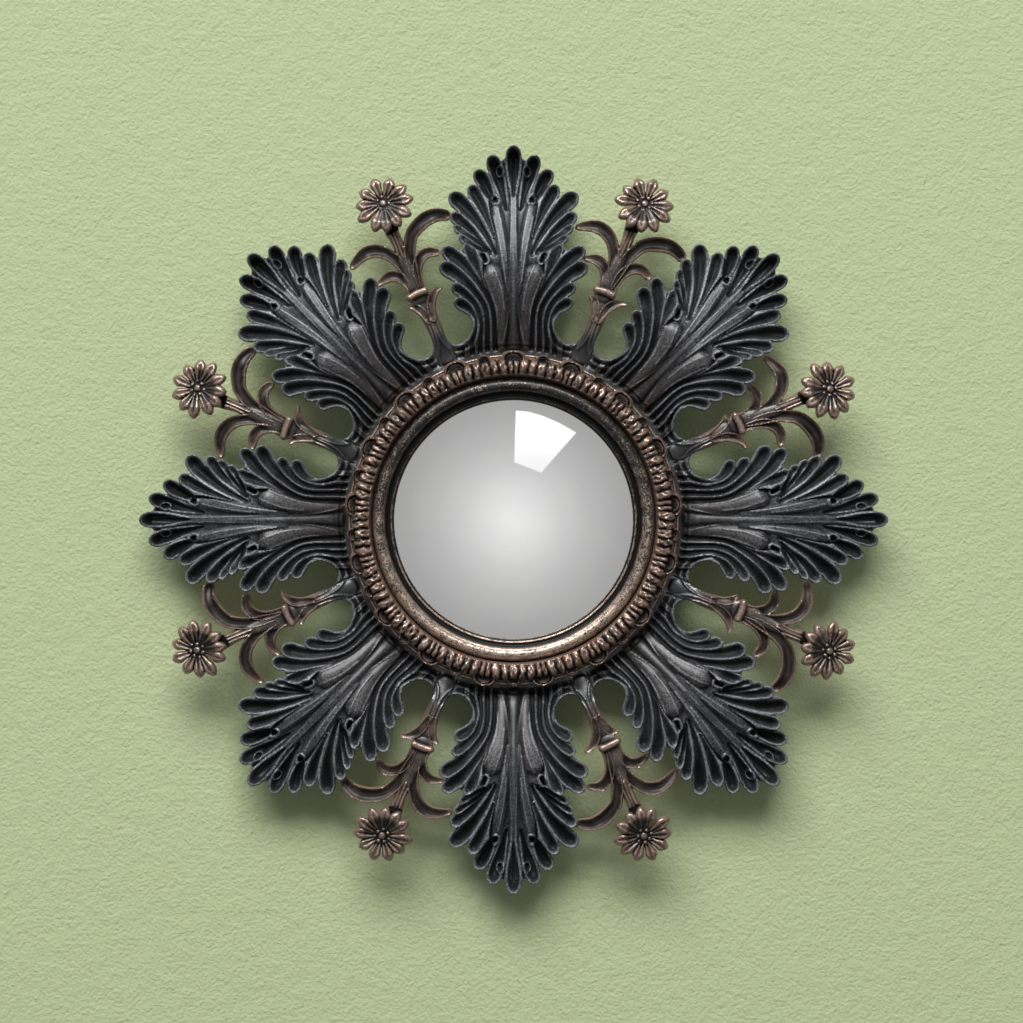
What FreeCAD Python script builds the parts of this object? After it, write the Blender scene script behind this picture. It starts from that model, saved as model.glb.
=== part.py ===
"""Round wall mirror: a small convex glass in a carved ring, with eight acanthus
leaves and eight flower sprigs fanned out round it.

Every piece is drawn as if the mirror lay on its back on a bench: X to the right,
Y towards the top of the mirror, Z forward, out of the wall, and the mirror's own
axis at X = Y = 0. The wall is at Z = 0 there. A placement then stands each piece
up, so that the finished part faces -Y with +Z up, and its origin is the round
hole of the hanger at the back.
"""

import FreeCAD, Part
import math
import os
import Sketcher

Vector = FreeCAD.Vector
FORWARD = Vector(0, 0, 1)

# Sizes in millimetres that are set by hand.
DRIVING_SIZES = [
    # overall
    ("sight_radius", 45.4),
    ("leaf_reach", 140.0),
    # back ring, which carries everything
    ("pad_thickness", 3.5),
    ("pad_radius", 5.0),
    ("back_ring_margin", 3.0),
    ("back_ring_thickness", 5.5),
    # glass and what holds it
    ("glass_lap", 1.4),
    ("glass_curve_radius", 175.0),
    ("glass_thickness", 3.0),
    ("lip_thickness", 1.0),
    ("lip_depth", 14.3),
    ("backing_lap", 1.6),
    ("backing_thickness", 3.0),
    ("foam_margin", 0.2),
    ("foam_width", 3.6),
    # bezel ring: flange under the ring moulding, and the smooth bead
    ("cove_width", 2.6),
    ("bead_width", 4.5),
    ("bead_depth", 17.5),
    ("flange_width", 2.7),
    # carved ring moulding
    ("tongue_thickness", 4.0),
    ("moulding_edge_height", 2.0),
    ("moulding_slope", 1.6),
    ("torus_margin", 0.4),
    ("torus_width", 7.2),
    ("torus_depth", 18.4),
    ("scallop_width", 8.2),
    ("scallop_thickness", 3.2),
    ("scallop_depth", 16.6),
    ("scallop_inset", 0.7),
    ("small_scallop_width", 3.6),
    ("small_scallop_length", 5.4),
    ("egg_width", 3.7),
    ("egg_length", 6.2),
    ("egg_depth", 20.6),
    # acanthus leaf
    ("leaf_root_margin", 2.5),
    ("leaf_half_width", 27.5),
    ("leaf_rise", 8.6),
    ("leaf_droop", 3.2),
    ("leaf_thickness", 4.4),
    ("leaf_tip_thickness", 2.8),
    ("tongue_margin", 1.0),
    ("foot_length", 5.6),
    ("flute_depth", 1.1),
    ("flute_mouth", 2.1),
    ("flute_start", 0.8),
    ("midrib_width", 3.2),
    ("midrib_height", 1.3),
    ("eye_radius", 1.3),
    # flower sprig
    ("sprig_tongue_half", 3.2),
    ("stem_depth", 16.0),
    ("stem_half", 2.1),
    ("collar_radius", 4.6),
    ("collar_tube", 1.2),
    ("flower_depth", 20.0),
    ("flower_radius", 10.4),
    ("petal_width", 4.0),
    ("flower_boss", 1.7),
    ("flower_heart", 3.4),
    ("flower_cup", 4.4),
    # fasteners
    ("screw_place", 3.3),
    ("screw_shank", 1.5),
    ("screw_head", 2.6),
    ("screw_head_height", 1.7),
    ("screw_length", 11.6),
    ("screw_sink", 0.3),
    ("recess_width", 0.6),
    ("recess_depth", 0.7),
    ("button_place", 5.0),
    ("button_half_width", 3.8),
    ("button_arm", 7.6),
    ("button_thickness", 1.2),
    ("button_gap", 0.2),
    ("button_screw_shank", 1.5),
    ("button_screw_head", 3.0),
    ("button_screw_head_height", 1.3),
    ("button_screw_bite", 4.2),
    ("pivot_gap", 0.05),
    # hanger
    ("hanger_place", 5.5),
    ("hanger_hole", 4.0),
    ("hanger_slot_half", 2.0),
    ("hanger_slot_rise", 4.0),
    ("hanger_margin", 1.4),
    ("hanger_half_width", 11.0),
    ("hanger_thickness", 1.2),
    ("hanger_corner", 2.5),
    ("hanger_recess", 4.5),
    ("hanger_screw_place", 8.0),
    ("hanger_screw_shank", 1.0),
    ("hanger_screw_head", 1.8),
    ("hanger_screw_head_height", 0.9),
    ("hanger_screw_bite", 4.0),
    # clearances
    ("gap", 0.3),
    ("thread_gap", 0.1),
    ("overrun", 30.0),
]

# Sizes that follow from those, as formulas in the same sheet: radii and places of one
# ring after another, from the glass outwards.
DERIVED_SIZES = [
    ("glass_radius", "sight_radius + glass_lap"),
    ("bezel_bore", "glass_radius + gap"),
    ("foam_outer", "glass_radius - foam_margin"),
    ("foam_inner", "foam_outer - foam_width"),
    ("backing_radius", "bezel_bore + backing_lap"),
    ("back_ring_inner", "backing_radius + gap"),
    ("bead_inner", "sight_radius + cove_width"),
    ("bead_outer", "bead_inner + bead_width"),
    ("bezel_flange_radius", "bead_outer + flange_width"),
    ("moulding_inner", "bead_outer + gap"),
    ("torus_inner", "moulding_inner + torus_margin"),
    ("torus_outer", "torus_inner + torus_width"),
    ("moulding_outer", "torus_outer + moulding_slope"),
    ("scallop_circle", "torus_outer - scallop_inset"),
    ("egg_circle", "(torus_inner + torus_outer) / 2"),
    ("tongue_inner", "bezel_flange_radius + tongue_margin"),
    ("screw_circle", "tongue_inner + screw_place"),
    ("back_ring_outer", "moulding_outer + back_ring_margin"),
    ("leaf_root", "moulding_outer + leaf_root_margin"),
    ("foot_reach", "back_ring_outer + foot_length"),
    ("pad_circle", "(back_ring_inner + back_ring_outer) / 2"),
    ("button_circle", "back_ring_inner + button_place"),
    ("hanger_circle", "back_ring_inner + hanger_place"),
]

LEAF_COUNT = 8
SCALLOP_COUNT = 17
PETAL_COUNT = 11

# Angles in degrees.
FULL_TURN = 360.0
QUARTER_TURN = 90.0
SCREW_SPREAD = 14.0
SCALLOP_LEAN = 30.0
FLOWER_TILT = 24.0
PAD_ANGLES = (90.0, 180.0, 270.0)
BUTTON_ANGLES = (45.0, 135.0, 225.0, 315.0)

LEAF_NAMES = ["leaf_top", "leaf_top_right", "leaf_right", "leaf_bottom_right",
              "leaf_bottom", "leaf_bottom_left", "leaf_left", "leaf_top_left"]

# Right half of a leaf, as shares of its half width and of its length from the end of
# its foot to its tip: first the edge beside the pierced eye, then the valley and the
# tip of each lobe in turn, up to the lobe at the leaf's point.
EYE_EDGE_SHARES = [(0.673, 0.005), (0.556, 0.060), (0.567, 0.103), (0.661, 0.126)]
LOBE_SHARES = [
    ((0.661, 0.126), (0.809, 0.189)),
    ((0.721, 0.228), (0.812, 0.266)),
    ((0.807, 0.298), (0.993, 0.374)),
    ((0.916, 0.407), (0.956, 0.460)),
    ((0.760, 0.472), (0.699, 0.499)),
    ((0.659, 0.503), (0.746, 0.544)),
    ((0.760, 0.555), (0.807, 0.577)),
    ((0.775, 0.602), (0.844, 0.636)),
    ((0.785, 0.668), (0.869, 0.747)),
    ((0.640, 0.760), (0.604, 0.798)),
    ((0.524, 0.807), (0.516, 0.878)),
    ((0.338, 0.883), (0.302, 0.951)),
    ((0.120, 0.946), (0.000, 1.000)),
]

# Flutes of the right half: start, bend and end of each.
FLUTE_SHARES = [
    ((0.095, 0.620), (0.165, 0.782), (0.270, 0.918)),
    ((0.165, 0.592), (0.290, 0.741), (0.455, 0.854)),
    ((0.255, 0.564), (0.380, 0.661), (0.535, 0.755)),
    ((0.290, 0.496), (0.510, 0.619), (0.770, 0.714)),
    ((0.345, 0.462), (0.545, 0.544), (0.765, 0.624)),
    ((0.220, 0.183), (0.365, 0.319), (0.630, 0.453)),
    ((0.275, 0.128), (0.475, 0.278), (0.845, 0.424)),
    ((0.345, 0.101), (0.580, 0.244), (0.880, 0.348)),
    ((0.411, 0.060), (0.530, 0.169), (0.750, 0.255)),
    ((0.470, 0.019), (0.515, 0.101), (0.700, 0.169)),
]

# Small pierced eyes between the lobe groups, one pair of each.
PIERCED_EYE_SHARES = [(0.425, 0.437), (0.255, 0.722)]

# Side view of a leaf: place along its length from its root, and how far its face has risen.
LEAF_RISE_SHARES = [(0.06, 0.36), (0.20, 0.76), (0.36, 1.00), (0.53, 0.85), (0.70, 0.45),
                    (0.84, 0.10), (0.92, 0.12), (1.03, 0.50)]

# Sickle leaves of a sprig: root, top of the arch and tip, across and along the
# sprig, as shares of the flower's place; then their widest half width as a share
# of the stem's.
SICKLE_SHARES = [
    ((0.006, 0.775), (0.022, 0.860), (0.078, 0.918), (0.128, 0.920), (0.1530, 0.903), 1.05),
    ((-0.010, 0.770), (-0.030, 0.845), (-0.070, 0.893), (-0.125, 0.893), (-0.1570, 0.868), 1.05),
    ((0.010, 0.728), (0.022, 0.785), (0.052, 0.818), (0.082, 0.822), (0.1030, 0.810), 0.85),
    ((-0.010, 0.728), (-0.030, 0.772), (-0.052, 0.795), (-0.075, 0.800), (-0.0940, 0.790), 0.85),
    ((0.006, 0.640), (0.016, 0.672), (0.032, 0.696), (0.048, 0.706), (0.0640, 0.709), 0.70),
    ((-0.006, 0.640), (-0.014, 0.665), (-0.024, 0.682), (-0.034, 0.692), (-0.0430, 0.699), 0.70),
]
SICKLE_WIDTH_SHARES = [0.70, 0.95, 1.00, 0.72, 0.26]

# Half widths of a sprig's stem, as shares of its thinnest, and where they lie: from its
# foot up to the collar, with how far the stem has risen there, and on to the flower.
LOWER_STEM_SHARES = [1.10, 1.00, 1.25, 1.90]
LOWER_STEM_PLACE_SHARES = [0.0, 0.26, 0.63, 1.0]
LOWER_STEM_DEPTH_SHARES = [0.0, 0.5, 1.0, 1.0]
UPPER_STEM_SHARES = [1.50, 1.20, 1.00]
UPPER_STEM_PLACE_SHARES = [0.0, 0.4, 0.95]

# Places of a sprig's collar and flower, as shares of the leaves' reach.
COLLAR_PLACE_SHARE = 0.65
FLOWER_PLACE_SHARE = 0.911

# A petal's length as a share of the flower's radius, how far the flower's heart stands
# forward as a share of a petal's width, and a cross recess's reach as a share of its
# screw head's radius.
PETAL_LENGTH_SHARE = 0.86
HEART_RISE_SHARE = 0.333
RECESS_REACH_SHARE = 0.6

# Midrib of a leaf: place along the leaf, and width and height as shares of the midrib's.
MIDRIB_SHARES = [(0.02, 1.6), (0.20, 1.2), (0.36, 1.0), (0.60, 0.7), (0.93, 0.5)]

# Depth of a flute at its start, bend and end; where the eggs lie in one repeat of the
# ring's carving, and the plain place where each repeat begins.
FLUTE_DEPTH_SHARES = [0.5, 0.9, 1.0]
EGG_PLACE_SHARES = (0.32, 0.68)
PLAIN_PLACE_SHARE = 0.207

# Places across a leaf where its side view is drawn, as shares of its half width.
LEAF_SECTION_SHARES = [-1.08, -0.54, 0.0, 0.54, 1.08]


class Size(float):
    """A length that also knows the sheet formula it comes from."""

    def __new__(cls, value, formula):
        size = super().__new__(cls, value)
        size.formula = formula
        return size

    def joined(self, sign, other, value):
        return Size(value, f"({self.formula} {sign} {getattr(other, 'formula', other)})")

    def __add__(self, other):
        return self.joined("+", other, float(self) + float(other))

    def __sub__(self, other):
        return self.joined("-", other, float(self) - float(other))

    def __mul__(self, other):
        return self.joined("*", other, float(self) * float(other))

    def __truediv__(self, other):
        return self.joined("/", other, float(self) / float(other))

    def __neg__(self):
        return Size(-float(self), f"(-{self.formula})")

    __rmul__ = __mul__

    def root(self):
        return Size(math.sqrt(self), f"sqrt({self.formula})")


ZERO = Size(0, "0")


class Sheet:
    """Driving and derived sizes, kept in the document's spreadsheet under their names."""

    def __init__(self, doc):
        self.cells = doc.addObject("Spreadsheet::Sheet", "Sizes")
        rows = [(name, str(value)) for name, value in DRIVING_SIZES]
        rows += [(name, "=" + formula) for name, formula in DERIVED_SIZES]
        for row, (name, content) in enumerate(rows, start=1):
            self.cells.set(f"A{row}", name)
            self.cells.setAlias(f"B{row}", name)
            self.cells.set(f"B{row}", content)
        doc.recompute()

    def __getattr__(self, name):
        return Size(self.cells.get(name), f"Sizes.{name}")


doc = FreeCAD.newDocument("round_mirror")
S = Sheet(doc)

# Depths that several pieces share, measured forward from the wall.
BACK_FACE = S.pad_thickness
SEAT_FACE = BACK_FACE + S.back_ring_thickness
MOULDING_FACE = SEAT_FACE + S.tongue_thickness
WALL_GAP = BACK_FACE - S.hanger_thickness
BACKING_FRONT = BACK_FACE + S.backing_thickness

COLLAR_PLACE = S.leaf_reach * COLLAR_PLACE_SHARE
FLOWER_PLACE = S.leaf_reach * FLOWER_PLACE_SHARE


def place(piece, clockwise=0.0):
    """Stand a piece up with the hanger's hole as origin, turned round the mirror's axis."""
    stand_up = FreeCAD.Rotation(Vector(1, 0, 0), QUARTER_TURN)
    turn = FreeCAD.Rotation(FORWARD, -clockwise)
    piece.Placement = FreeCAD.Placement(Vector(0, WALL_GAP, -S.hanger_circle), stand_up.multiply(turn))
    piece.setExpression("Placement.Base.y", WALL_GAP.formula)
    piece.setExpression("Placement.Base.z", (-S.hanger_circle).formula)


def feature(label, shape, clockwise=0.0):
    """A piece whose free form is worked out here from the sheet's sizes."""
    piece = doc.addObject("Part::Feature", label)
    piece.Label = label
    piece.Shape = shape
    place(piece, clockwise)
    return piece


def primitive(kind, name, corner, **sizes):
    """A box, cylinder or sphere whose place and sizes are tied to the sheet."""
    made = doc.addObject(f"Part::{kind}", name)
    for field, size in sizes.items():
        made.setExpression(field, size.formula)
    for axis, size in zip("xyz", corner):
        made.setExpression(f"Placement.Base.{axis}", size.formula)
    return made


def united(name, members):
    union = doc.addObject("Part::MultiFuse", name)
    union.Shapes = members
    union.Refine = True
    return union


def cut_from(name, base, tool):
    rest = doc.addObject("Part::Cut", name)
    rest.Base = base
    rest.Tool = tool
    rest.Refine = True
    return rest


def spread(label, pattern, angles):
    """One node of loose solids: the pattern object's shape at several angles."""
    doc.recompute()
    return feature(label, Part.makeCompound(round_copies(pattern.Shape, angles)))


def round_copies(shape, angles):
    """Copies of a shape, turned clockwise round the mirror's axis."""
    copies = []
    for angle in angles:
        turned = shape.copy()
        turned.rotate(Vector(0, 0, 0), FORWARD, -angle)
        copies.append(turned)
    return copies


def point(across, along, depth=0.0):
    return Vector(float(across), float(along), float(depth))


# Bodies drawn as turned sections.

def origin_part(body, role):
    return next(part for part in body.Origin.OriginFeatures if part.Role == role)


def new_body(label):
    body = doc.addObject("PartDesign::Body", label)
    body.Label = label
    return body


def new_sketch(body, name, role):
    sketch = body.newObject("Sketcher::SketchObject", name)
    sketch.AttachmentSupport = [(origin_part(body, role), "")]
    sketch.MapMode = "FlatFace"
    return sketch


def fix(sketch, kind, geometry, vertex, size):
    """Tie one coordinate of a sketch point to the sheet."""
    index = sketch.addConstraint(Sketcher.Constraint(kind, -1, 1, geometry, vertex, float(size)))
    sketch.setExpression(f"Constraints[{index}]", size.formula)


def section(body, name, corners, round_tops=()):
    """A closed section on the body's XZ plane through corners given as (radius, depth).

    The stretch that follows a corner named in round_tops is a half circle.
    """
    sketch = new_sketch(body, name, "XZ_Plane")
    count = len(corners)
    for i, (radius, depth) in enumerate(corners):
        next_radius, next_depth = corners[(i + 1) % count]
        start = point(radius, depth)
        end = point(next_radius, next_depth)
        if i in round_tops:
            middle = (start + end) / 2
            half = start.distanceToPoint(end) / 2
            circle = Part.Circle(middle, FORWARD, half)
            sketch.addGeometry(Part.ArcOfCircle(circle, 0, math.pi), False)
        else:
            sketch.addGeometry(Part.LineSegment(start, end), False)
    first_vertex = [1] * count
    last_vertex = [2] * count
    for i in range(count):
        after = (i + 1) % count
        sketch.addConstraint(Sketcher.Constraint("Coincident", i, last_vertex[i], after, first_vertex[after]))
    for i, (radius, depth) in enumerate(corners):
        fix(sketch, "DistanceX", i, first_vertex[i], radius)
        fix(sketch, "DistanceY", i, first_vertex[i], depth)
        if i in round_tops:
            fix(sketch, "DistanceY", i, 3, depth)
    return sketch


def turned(body, name, corners, round_tops=(), angle=FULL_TURN):
    """Turn a section round the mirror's axis, from +X towards +Y."""
    sketch = section(body, name + "_section", corners, round_tops)
    turning = body.newObject("PartDesign::Revolution", name)
    turning.Profile = sketch
    turning.ReferenceAxis = (sketch, ["V_Axis"])
    turning.Angle = angle
    return turning


# Small turned solids as primitives.

def cylinder(radius, depth_from, depth_to, across=0.0, along=0.0):
    height = float(depth_to) - float(depth_from)
    return Part.makeCylinder(float(radius), height, point(across, along, depth_from), FORWARD)


def cone(radius_from, radius_to, depth_from, depth_to, across=0.0, along=0.0):
    height = float(depth_to) - float(depth_from)
    base = point(across, along, depth_from)
    return Part.makeCone(float(radius_from), float(radius_to), height, base, FORWARD)


# Screws through the back ring: two to each leaf and one to each sprig.

def leaf_step():
    return FULL_TURN / LEAF_COUNT


def screw_angles():
    angles = []
    for number in range(LEAF_COUNT):
        axis = number * leaf_step()
        angles += [axis - SCREW_SPREAD, axis + SCREW_SPREAD, axis + leaf_step() / 2]
    return [float(angle) for angle in angles]


SCREW_BACK = BACK_FACE + S.screw_sink


def cross_recess(head_radius, back, along, across=ZERO):
    """Two slots crossed at right angles, sunk into the back of a screw's head."""
    reach = head_radius * RECESS_REACH_SHARE
    half = S.recess_width / 2
    slots = []
    for wide, tall in ((reach, half), (half, reach)):
        slots.append(Part.makeBox(wide + wide, tall + tall, S.recess_depth,
                                  point(across - wide, along - tall, back)))
    return slots


def long_screw(extra):
    """A countersunk screw at the top of the screw circle; extra widens it for its hole."""
    head_end = SCREW_BACK + S.screw_head_height
    tip = SCREW_BACK + S.screw_length
    head = cone(S.screw_head + extra, S.screw_shank + extra, SCREW_BACK, head_end, ZERO, S.screw_circle)
    shank = cylinder(S.screw_shank + extra, head_end - extra, tip + extra, ZERO, S.screw_circle)
    return head.fuse(shank).removeSplitter()


def screw_holes(angles):
    """The screws' holes at some angles, open to the back."""
    hole = long_screw(S.thread_gap)
    mouth = cylinder(S.screw_head + S.thread_gap, ZERO, SCREW_BACK, ZERO, S.screw_circle)
    return round_copies(hole.fuse(mouth), angles)


def ring_screws():
    screw = long_screw(ZERO).cut(cross_recess(S.screw_head, SCREW_BACK, S.screw_circle))
    return feature("ring_screws", Part.makeCompound(round_copies(screw, screw_angles())))


# Pieces of the frame.

def hanger_recess():
    """Room behind the hanger plate for the head of the wall screw."""
    front = BACK_FACE + S.hanger_recess
    room = S.hanger_hole + S.gap
    slot_end = S.hanger_circle + S.hanger_slot_rise
    return united("hanger_room", [
        primitive("Cylinder", "room_below", (ZERO, S.hanger_circle, ZERO), Radius=room, Height=front),
        primitive("Cylinder", "room_above", (ZERO, slot_end, ZERO), Radius=room, Height=front),
        primitive("Box", "room_between", (-room, S.hanger_circle, ZERO),
                  Length=room + room, Width=S.hanger_slot_rise, Height=front)])


def back_ring():
    """Flat ring behind the leaf roots, with the hanger's recess at its top."""
    body = new_body("back_ring_blank")
    turned(body, "back_ring_plate", [
        (S.back_ring_inner, BACK_FACE), (S.back_ring_outer, BACK_FACE),
        (S.back_ring_outer, SEAT_FACE), (S.back_ring_inner, SEAT_FACE)])
    pilot = primitive("Cylinder", "button_pilot", (ZERO, S.button_circle, ZERO),
                      Radius=S.button_screw_shank + S.thread_gap,
                      Height=BACK_FACE + S.button_screw_bite + S.thread_gap)
    doc.recompute()
    holes = doc.addObject("Part::Feature", "back_ring_holes")
    holes.Shape = Part.makeCompound(screw_holes(screw_angles()) + round_copies(pilot.Shape, BUTTON_ANGLES))
    hanger_pilots = [primitive("Cylinder", f"hanger_pilot_{number}", (across, hanger_middle(), ZERO),
                               Radius=S.hanger_screw_shank + S.thread_gap,
                               Height=BACK_FACE + S.hanger_screw_bite + S.thread_gap)
                     for number, across in enumerate((-S.hanger_screw_place, S.hanger_screw_place), start=1)]
    cuts = united("back_ring_cuts", [hanger_recess()] + hanger_pilots)
    ring = cut_from("back_ring", cut_from("back_ring_bored", body, holes), cuts)
    place(ring)
    return ring


def bezel_ring():
    """Ring with the smooth bead, whose lip holds the glass from the front."""
    body = new_body("bezel_ring")
    lip_front = S.lip_depth + S.lip_thickness
    turned(body, "bezel", [
        (S.bezel_bore, SEAT_FACE), (S.bezel_flange_radius, SEAT_FACE),
        (S.bezel_flange_radius, MOULDING_FACE), (S.bead_outer, MOULDING_FACE),
        (S.bead_outer, S.bead_depth), (S.bead_inner, S.bead_depth),
        (S.sight_radius, lip_front), (S.sight_radius, S.lip_depth), (S.bezel_bore, S.lip_depth)],
        round_tops=(4,))
    place(body)
    return body


def egg(width, length, thickness, centre, lean=0.0):
    """A stretched ball with its width across, its length along and its thickness forward.

    It leans about X by an angle, with its outer end towards the wall when that is negative.
    The ball's poles lie across, so that they end up inside the piece that it is joined to.
    """
    ball = Part.makeSphere(float(length) / 2)
    ball.rotate(Vector(0, 0, 0), Vector(0, 1, 0), QUARTER_TURN)
    stretch = FreeCAD.Matrix()
    stretch.scale(Vector(width / length, 1, thickness / length))
    stretched = ball.transformGeometry(stretch)
    stretched.rotate(Vector(0, 0, 0), Vector(1, 0, 0), lean)
    stretched.translate(centre)
    return stretched


def ring_moulding():
    """Ring with a round back, carved with scallops at its rim and eggs between them.

    One repeat is carved, and copies of it side by side are joined to make the ring. Each
    begins at a plain place just after a scallop.
    """
    step = FULL_TURN / SCALLOP_COUNT
    blank = new_body("moulding_blank")
    edge = MOULDING_FACE + S.moulding_edge_height
    turned(blank, "moulding", [
        (S.moulding_inner, MOULDING_FACE), (S.moulding_outer, MOULDING_FACE),
        (S.moulding_outer, edge), (S.torus_outer, S.torus_depth), (S.torus_inner, S.torus_depth),
        (S.moulding_inner, S.torus_depth)], round_tops=(3,), angle=step)
    doc.recompute()
    plain = blank.Shape.copy()
    plain.rotate(Vector(0, 0, 0), FORWARD, QUARTER_TURN - step - step * PLAIN_PLACE_SHARE)
    scallop_place = point(0, S.scallop_circle, S.scallop_depth)
    scallop = egg(S.scallop_width, S.scallop_width, S.scallop_thickness, scallop_place, -SCALLOP_LEAN)
    small = egg(S.small_scallop_width, S.small_scallop_length, S.small_scallop_width,
                scallop_place, -SCALLOP_LEAN)
    crest_egg = egg(S.egg_width, S.egg_length, S.egg_width, point(0, S.egg_circle, S.egg_depth))
    carving = round_copies(scallop, [step]) + round_copies(small, [step / 2])
    carving += round_copies(crest_egg, [step * share for share in EGG_PLACE_SHARES])
    repeats = round_copies(plain.fuse(carving), [step * number for number in range(SCALLOP_COUNT)])
    shape = repeats[0].fuse(repeats[1:])
    underside = cylinder(S.moulding_outer + S.overrun, ZERO, MOULDING_FACE)
    shape = shape.cut([underside] + screw_holes(screw_angles()))
    return feature("ring_moulding", shape)


def glass_centre():
    """Depth of the centre of the glass's curve, from its front just behind the lip's edge."""
    rise = (S.glass_curve_radius * S.glass_curve_radius - S.sight_radius * S.sight_radius).root()
    return S.lip_depth - S.gap - rise


def glass_back_depth(radius):
    curve = S.glass_curve_radius - S.glass_thickness
    return glass_centre() + (curve * curve - radius * radius).root()


def mirror_glass():
    """Convex glass of even thickness."""
    centre = (ZERO, ZERO, glass_centre())
    outside = primitive("Sphere", "glass_front", centre, Radius=S.glass_curve_radius)
    inside = primitive("Sphere", "glass_back", centre, Radius=S.glass_curve_radius - S.glass_thickness)
    edge = primitive("Cylinder", "glass_edge", (ZERO, ZERO, BACK_FACE),
                     Radius=S.glass_radius, Height=S.lip_depth + S.overrun)
    glass = doc.addObject("Part::Common", "mirror_glass")
    glass.Base = cut_from("glass_shell", outside, inside)
    glass.Tool = edge
    place(glass)
    return glass


def foam_ring():
    """Soft ring between the glass's rim and the backing, cut to the glass's curve."""
    body = new_body("foam_ring")
    turned(body, "foam", [
        (S.foam_inner, BACKING_FRONT), (S.foam_outer, BACKING_FRONT),
        (S.foam_outer, glass_back_depth(S.foam_outer) - S.gap),
        (S.foam_inner, glass_back_depth(S.foam_inner) - S.gap)])
    place(body)
    return body


def backing_disc():
    """Hardboard disc that closes the back of the ring."""
    body = new_body("backing_disc")
    turned(body, "backing", [
        (ZERO, BACK_FACE), (S.backing_radius, BACK_FACE),
        (S.backing_radius, BACKING_FRONT), (ZERO, BACKING_FRONT)])
    place(body)
    return body


# Acanthus leaf.

def beside_sprig(reach, side=1):
    """A point of the leaf's foot, beside the sprig that shares its root."""
    lean = math.radians(leaf_step() / 2)
    clear = S.sprig_tongue_half + S.gap
    across = reach * math.sin(lean) - clear * math.cos(lean)
    along = reach * math.cos(lean) + clear * math.sin(lean)
    return point(side * across, along)


def leaf_point(share, side=1):
    """A place on the leaf, measured from the end of its foot to its tip."""
    start = beside_sprig(S.foot_reach).y
    return point(side * share[0] * S.leaf_half_width, start + share[1] * (S.leaf_reach - start))


def leaf_outline():
    """The lobed outline of a leaf, from its foot round its point and back."""
    def half(side):
        start = math.sqrt(S.tongue_inner ** 2 - (S.sprig_tongue_half + S.gap) ** 2)
        foot = beside_sprig(start, side)
        shoulder = beside_sprig(S.foot_reach, side)
        eye = [leaf_point(share, side) for share in EYE_EDGE_SHARES]
        edges = [Part.makeLine(foot, shoulder), Part.Arc(shoulder, eye[0], eye[1]).toShape(),
                 Part.Arc(eye[1], eye[2], eye[3]).toShape()]
        for lobe, after in zip(LOBE_SHARES, LOBE_SHARES[1:]):
            valley, tip = lobe
            edges.append(Part.Arc(leaf_point(valley, side), leaf_point(tip, side),
                                  leaf_point(after[0], side)).toShape())
        return foot, edges
    right_foot, right = half(1)
    left_foot, left = half(-1)
    last_valley, last_tip = LOBE_SHARES[-1]
    point_arc = Part.Arc(leaf_point(last_valley), leaf_point(last_tip), leaf_point(last_valley, -1)).toShape()
    root_arc = Part.Arc(left_foot, point(0, S.tongue_inner), right_foot).toShape()
    return Part.Wire(Part.__sortEdges__(right + [point_arc] + left + [root_arc]))


def leaf_face_depth(along, across=0.0):
    """Depth of the leaf's front at a place, before its carving."""
    share = (along - S.leaf_root) / (S.leaf_reach - S.leaf_root)
    table = [(-1.0, 0.0), (0.0, 0.0)] + LEAF_RISE_SHARES
    rise = table[-1][1]
    for (low, rise_low), (high, rise_high) in zip(table, table[1:]):
        if low <= share <= high:
            rise = rise_low + (rise_high - rise_low) * (share - low) / (high - low)
            break
    return float(MOULDING_FACE) + rise * S.leaf_rise - leaf_sag(share, across)


def leaf_sag(share, across):
    """How far the leaf's sides bend back, which is nothing at its root."""
    ramp = min(1.0, max(0.0, share / LEAF_RISE_SHARES[1][0]))
    return ramp * S.leaf_droop * (across / S.leaf_half_width) ** 2


def leaf_section(across):
    """The leaf's side view at one distance from its midrib, as a closed wire."""
    length = S.leaf_reach - S.leaf_root

    def thickness(share):
        return S.leaf_thickness + (S.leaf_tip_thickness - S.leaf_thickness) * share
    front = []
    back = []
    for share, rise in LEAF_RISE_SHARES:
        along = S.leaf_root + share * length
        depth = float(MOULDING_FACE) + rise * S.leaf_rise - leaf_sag(share, across)
        front.append(point(across, along, depth))
        back.append(point(across, along, depth - thickness(share)))
    inner = S.tongue_inner - S.gap
    root_front = point(across, S.leaf_root, MOULDING_FACE)
    root_back = point(across, S.back_ring_outer + S.gap, SEAT_FACE)
    corner_front = point(across, inner - S.leaf_droop, MOULDING_FACE)
    corner_back = point(across, inner - S.leaf_droop, SEAT_FACE)
    top = Part.BSplineCurve()
    top.interpolate([root_front] + front)
    under = Part.BSplineCurve()
    under.interpolate([root_back] + back[1:])
    edges = [Part.makeLine(corner_front, root_front), top.toShape(),
             Part.makeLine(front[-1], back[-1]), under.toShape(),
             Part.makeLine(root_back, corner_back), Part.makeLine(corner_back, corner_front)]
    return Part.Wire(edges)


def round_section(centre, radius, direction, across):
    """A circle square to a path, whose seam lies the same way at every station."""
    circle = Part.Circle(centre, direction, float(radius))
    circle.XAxis = across - direction * across.dot(direction) / direction.dot(direction)
    return Part.Wire(circle.toShape())


def horn(centres, radii, across):
    """A tapering round-sectioned horn through the given centres."""
    wires = []
    for number, (centre, radius) in enumerate(zip(centres, radii)):
        before = centres[max(number - 1, 0)]
        after = centres[min(number + 1, len(centres) - 1)]
        wires.append(round_section(centre, radius, after - before, across))
    return Part.makeLoft(wires, True, False)


def flute(stations, radii, depths, side):
    """A gouge along a leaf finger: round sections that follow the leaf's face."""
    centres = []
    for station, radius, depth in zip(stations, radii, depths):
        face = leaf_face_depth(station.y, station.x)
        centres.append(point(side * station.x, station.y, face + radius - depth))
    return horn(centres, radii, FORWARD)


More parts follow.
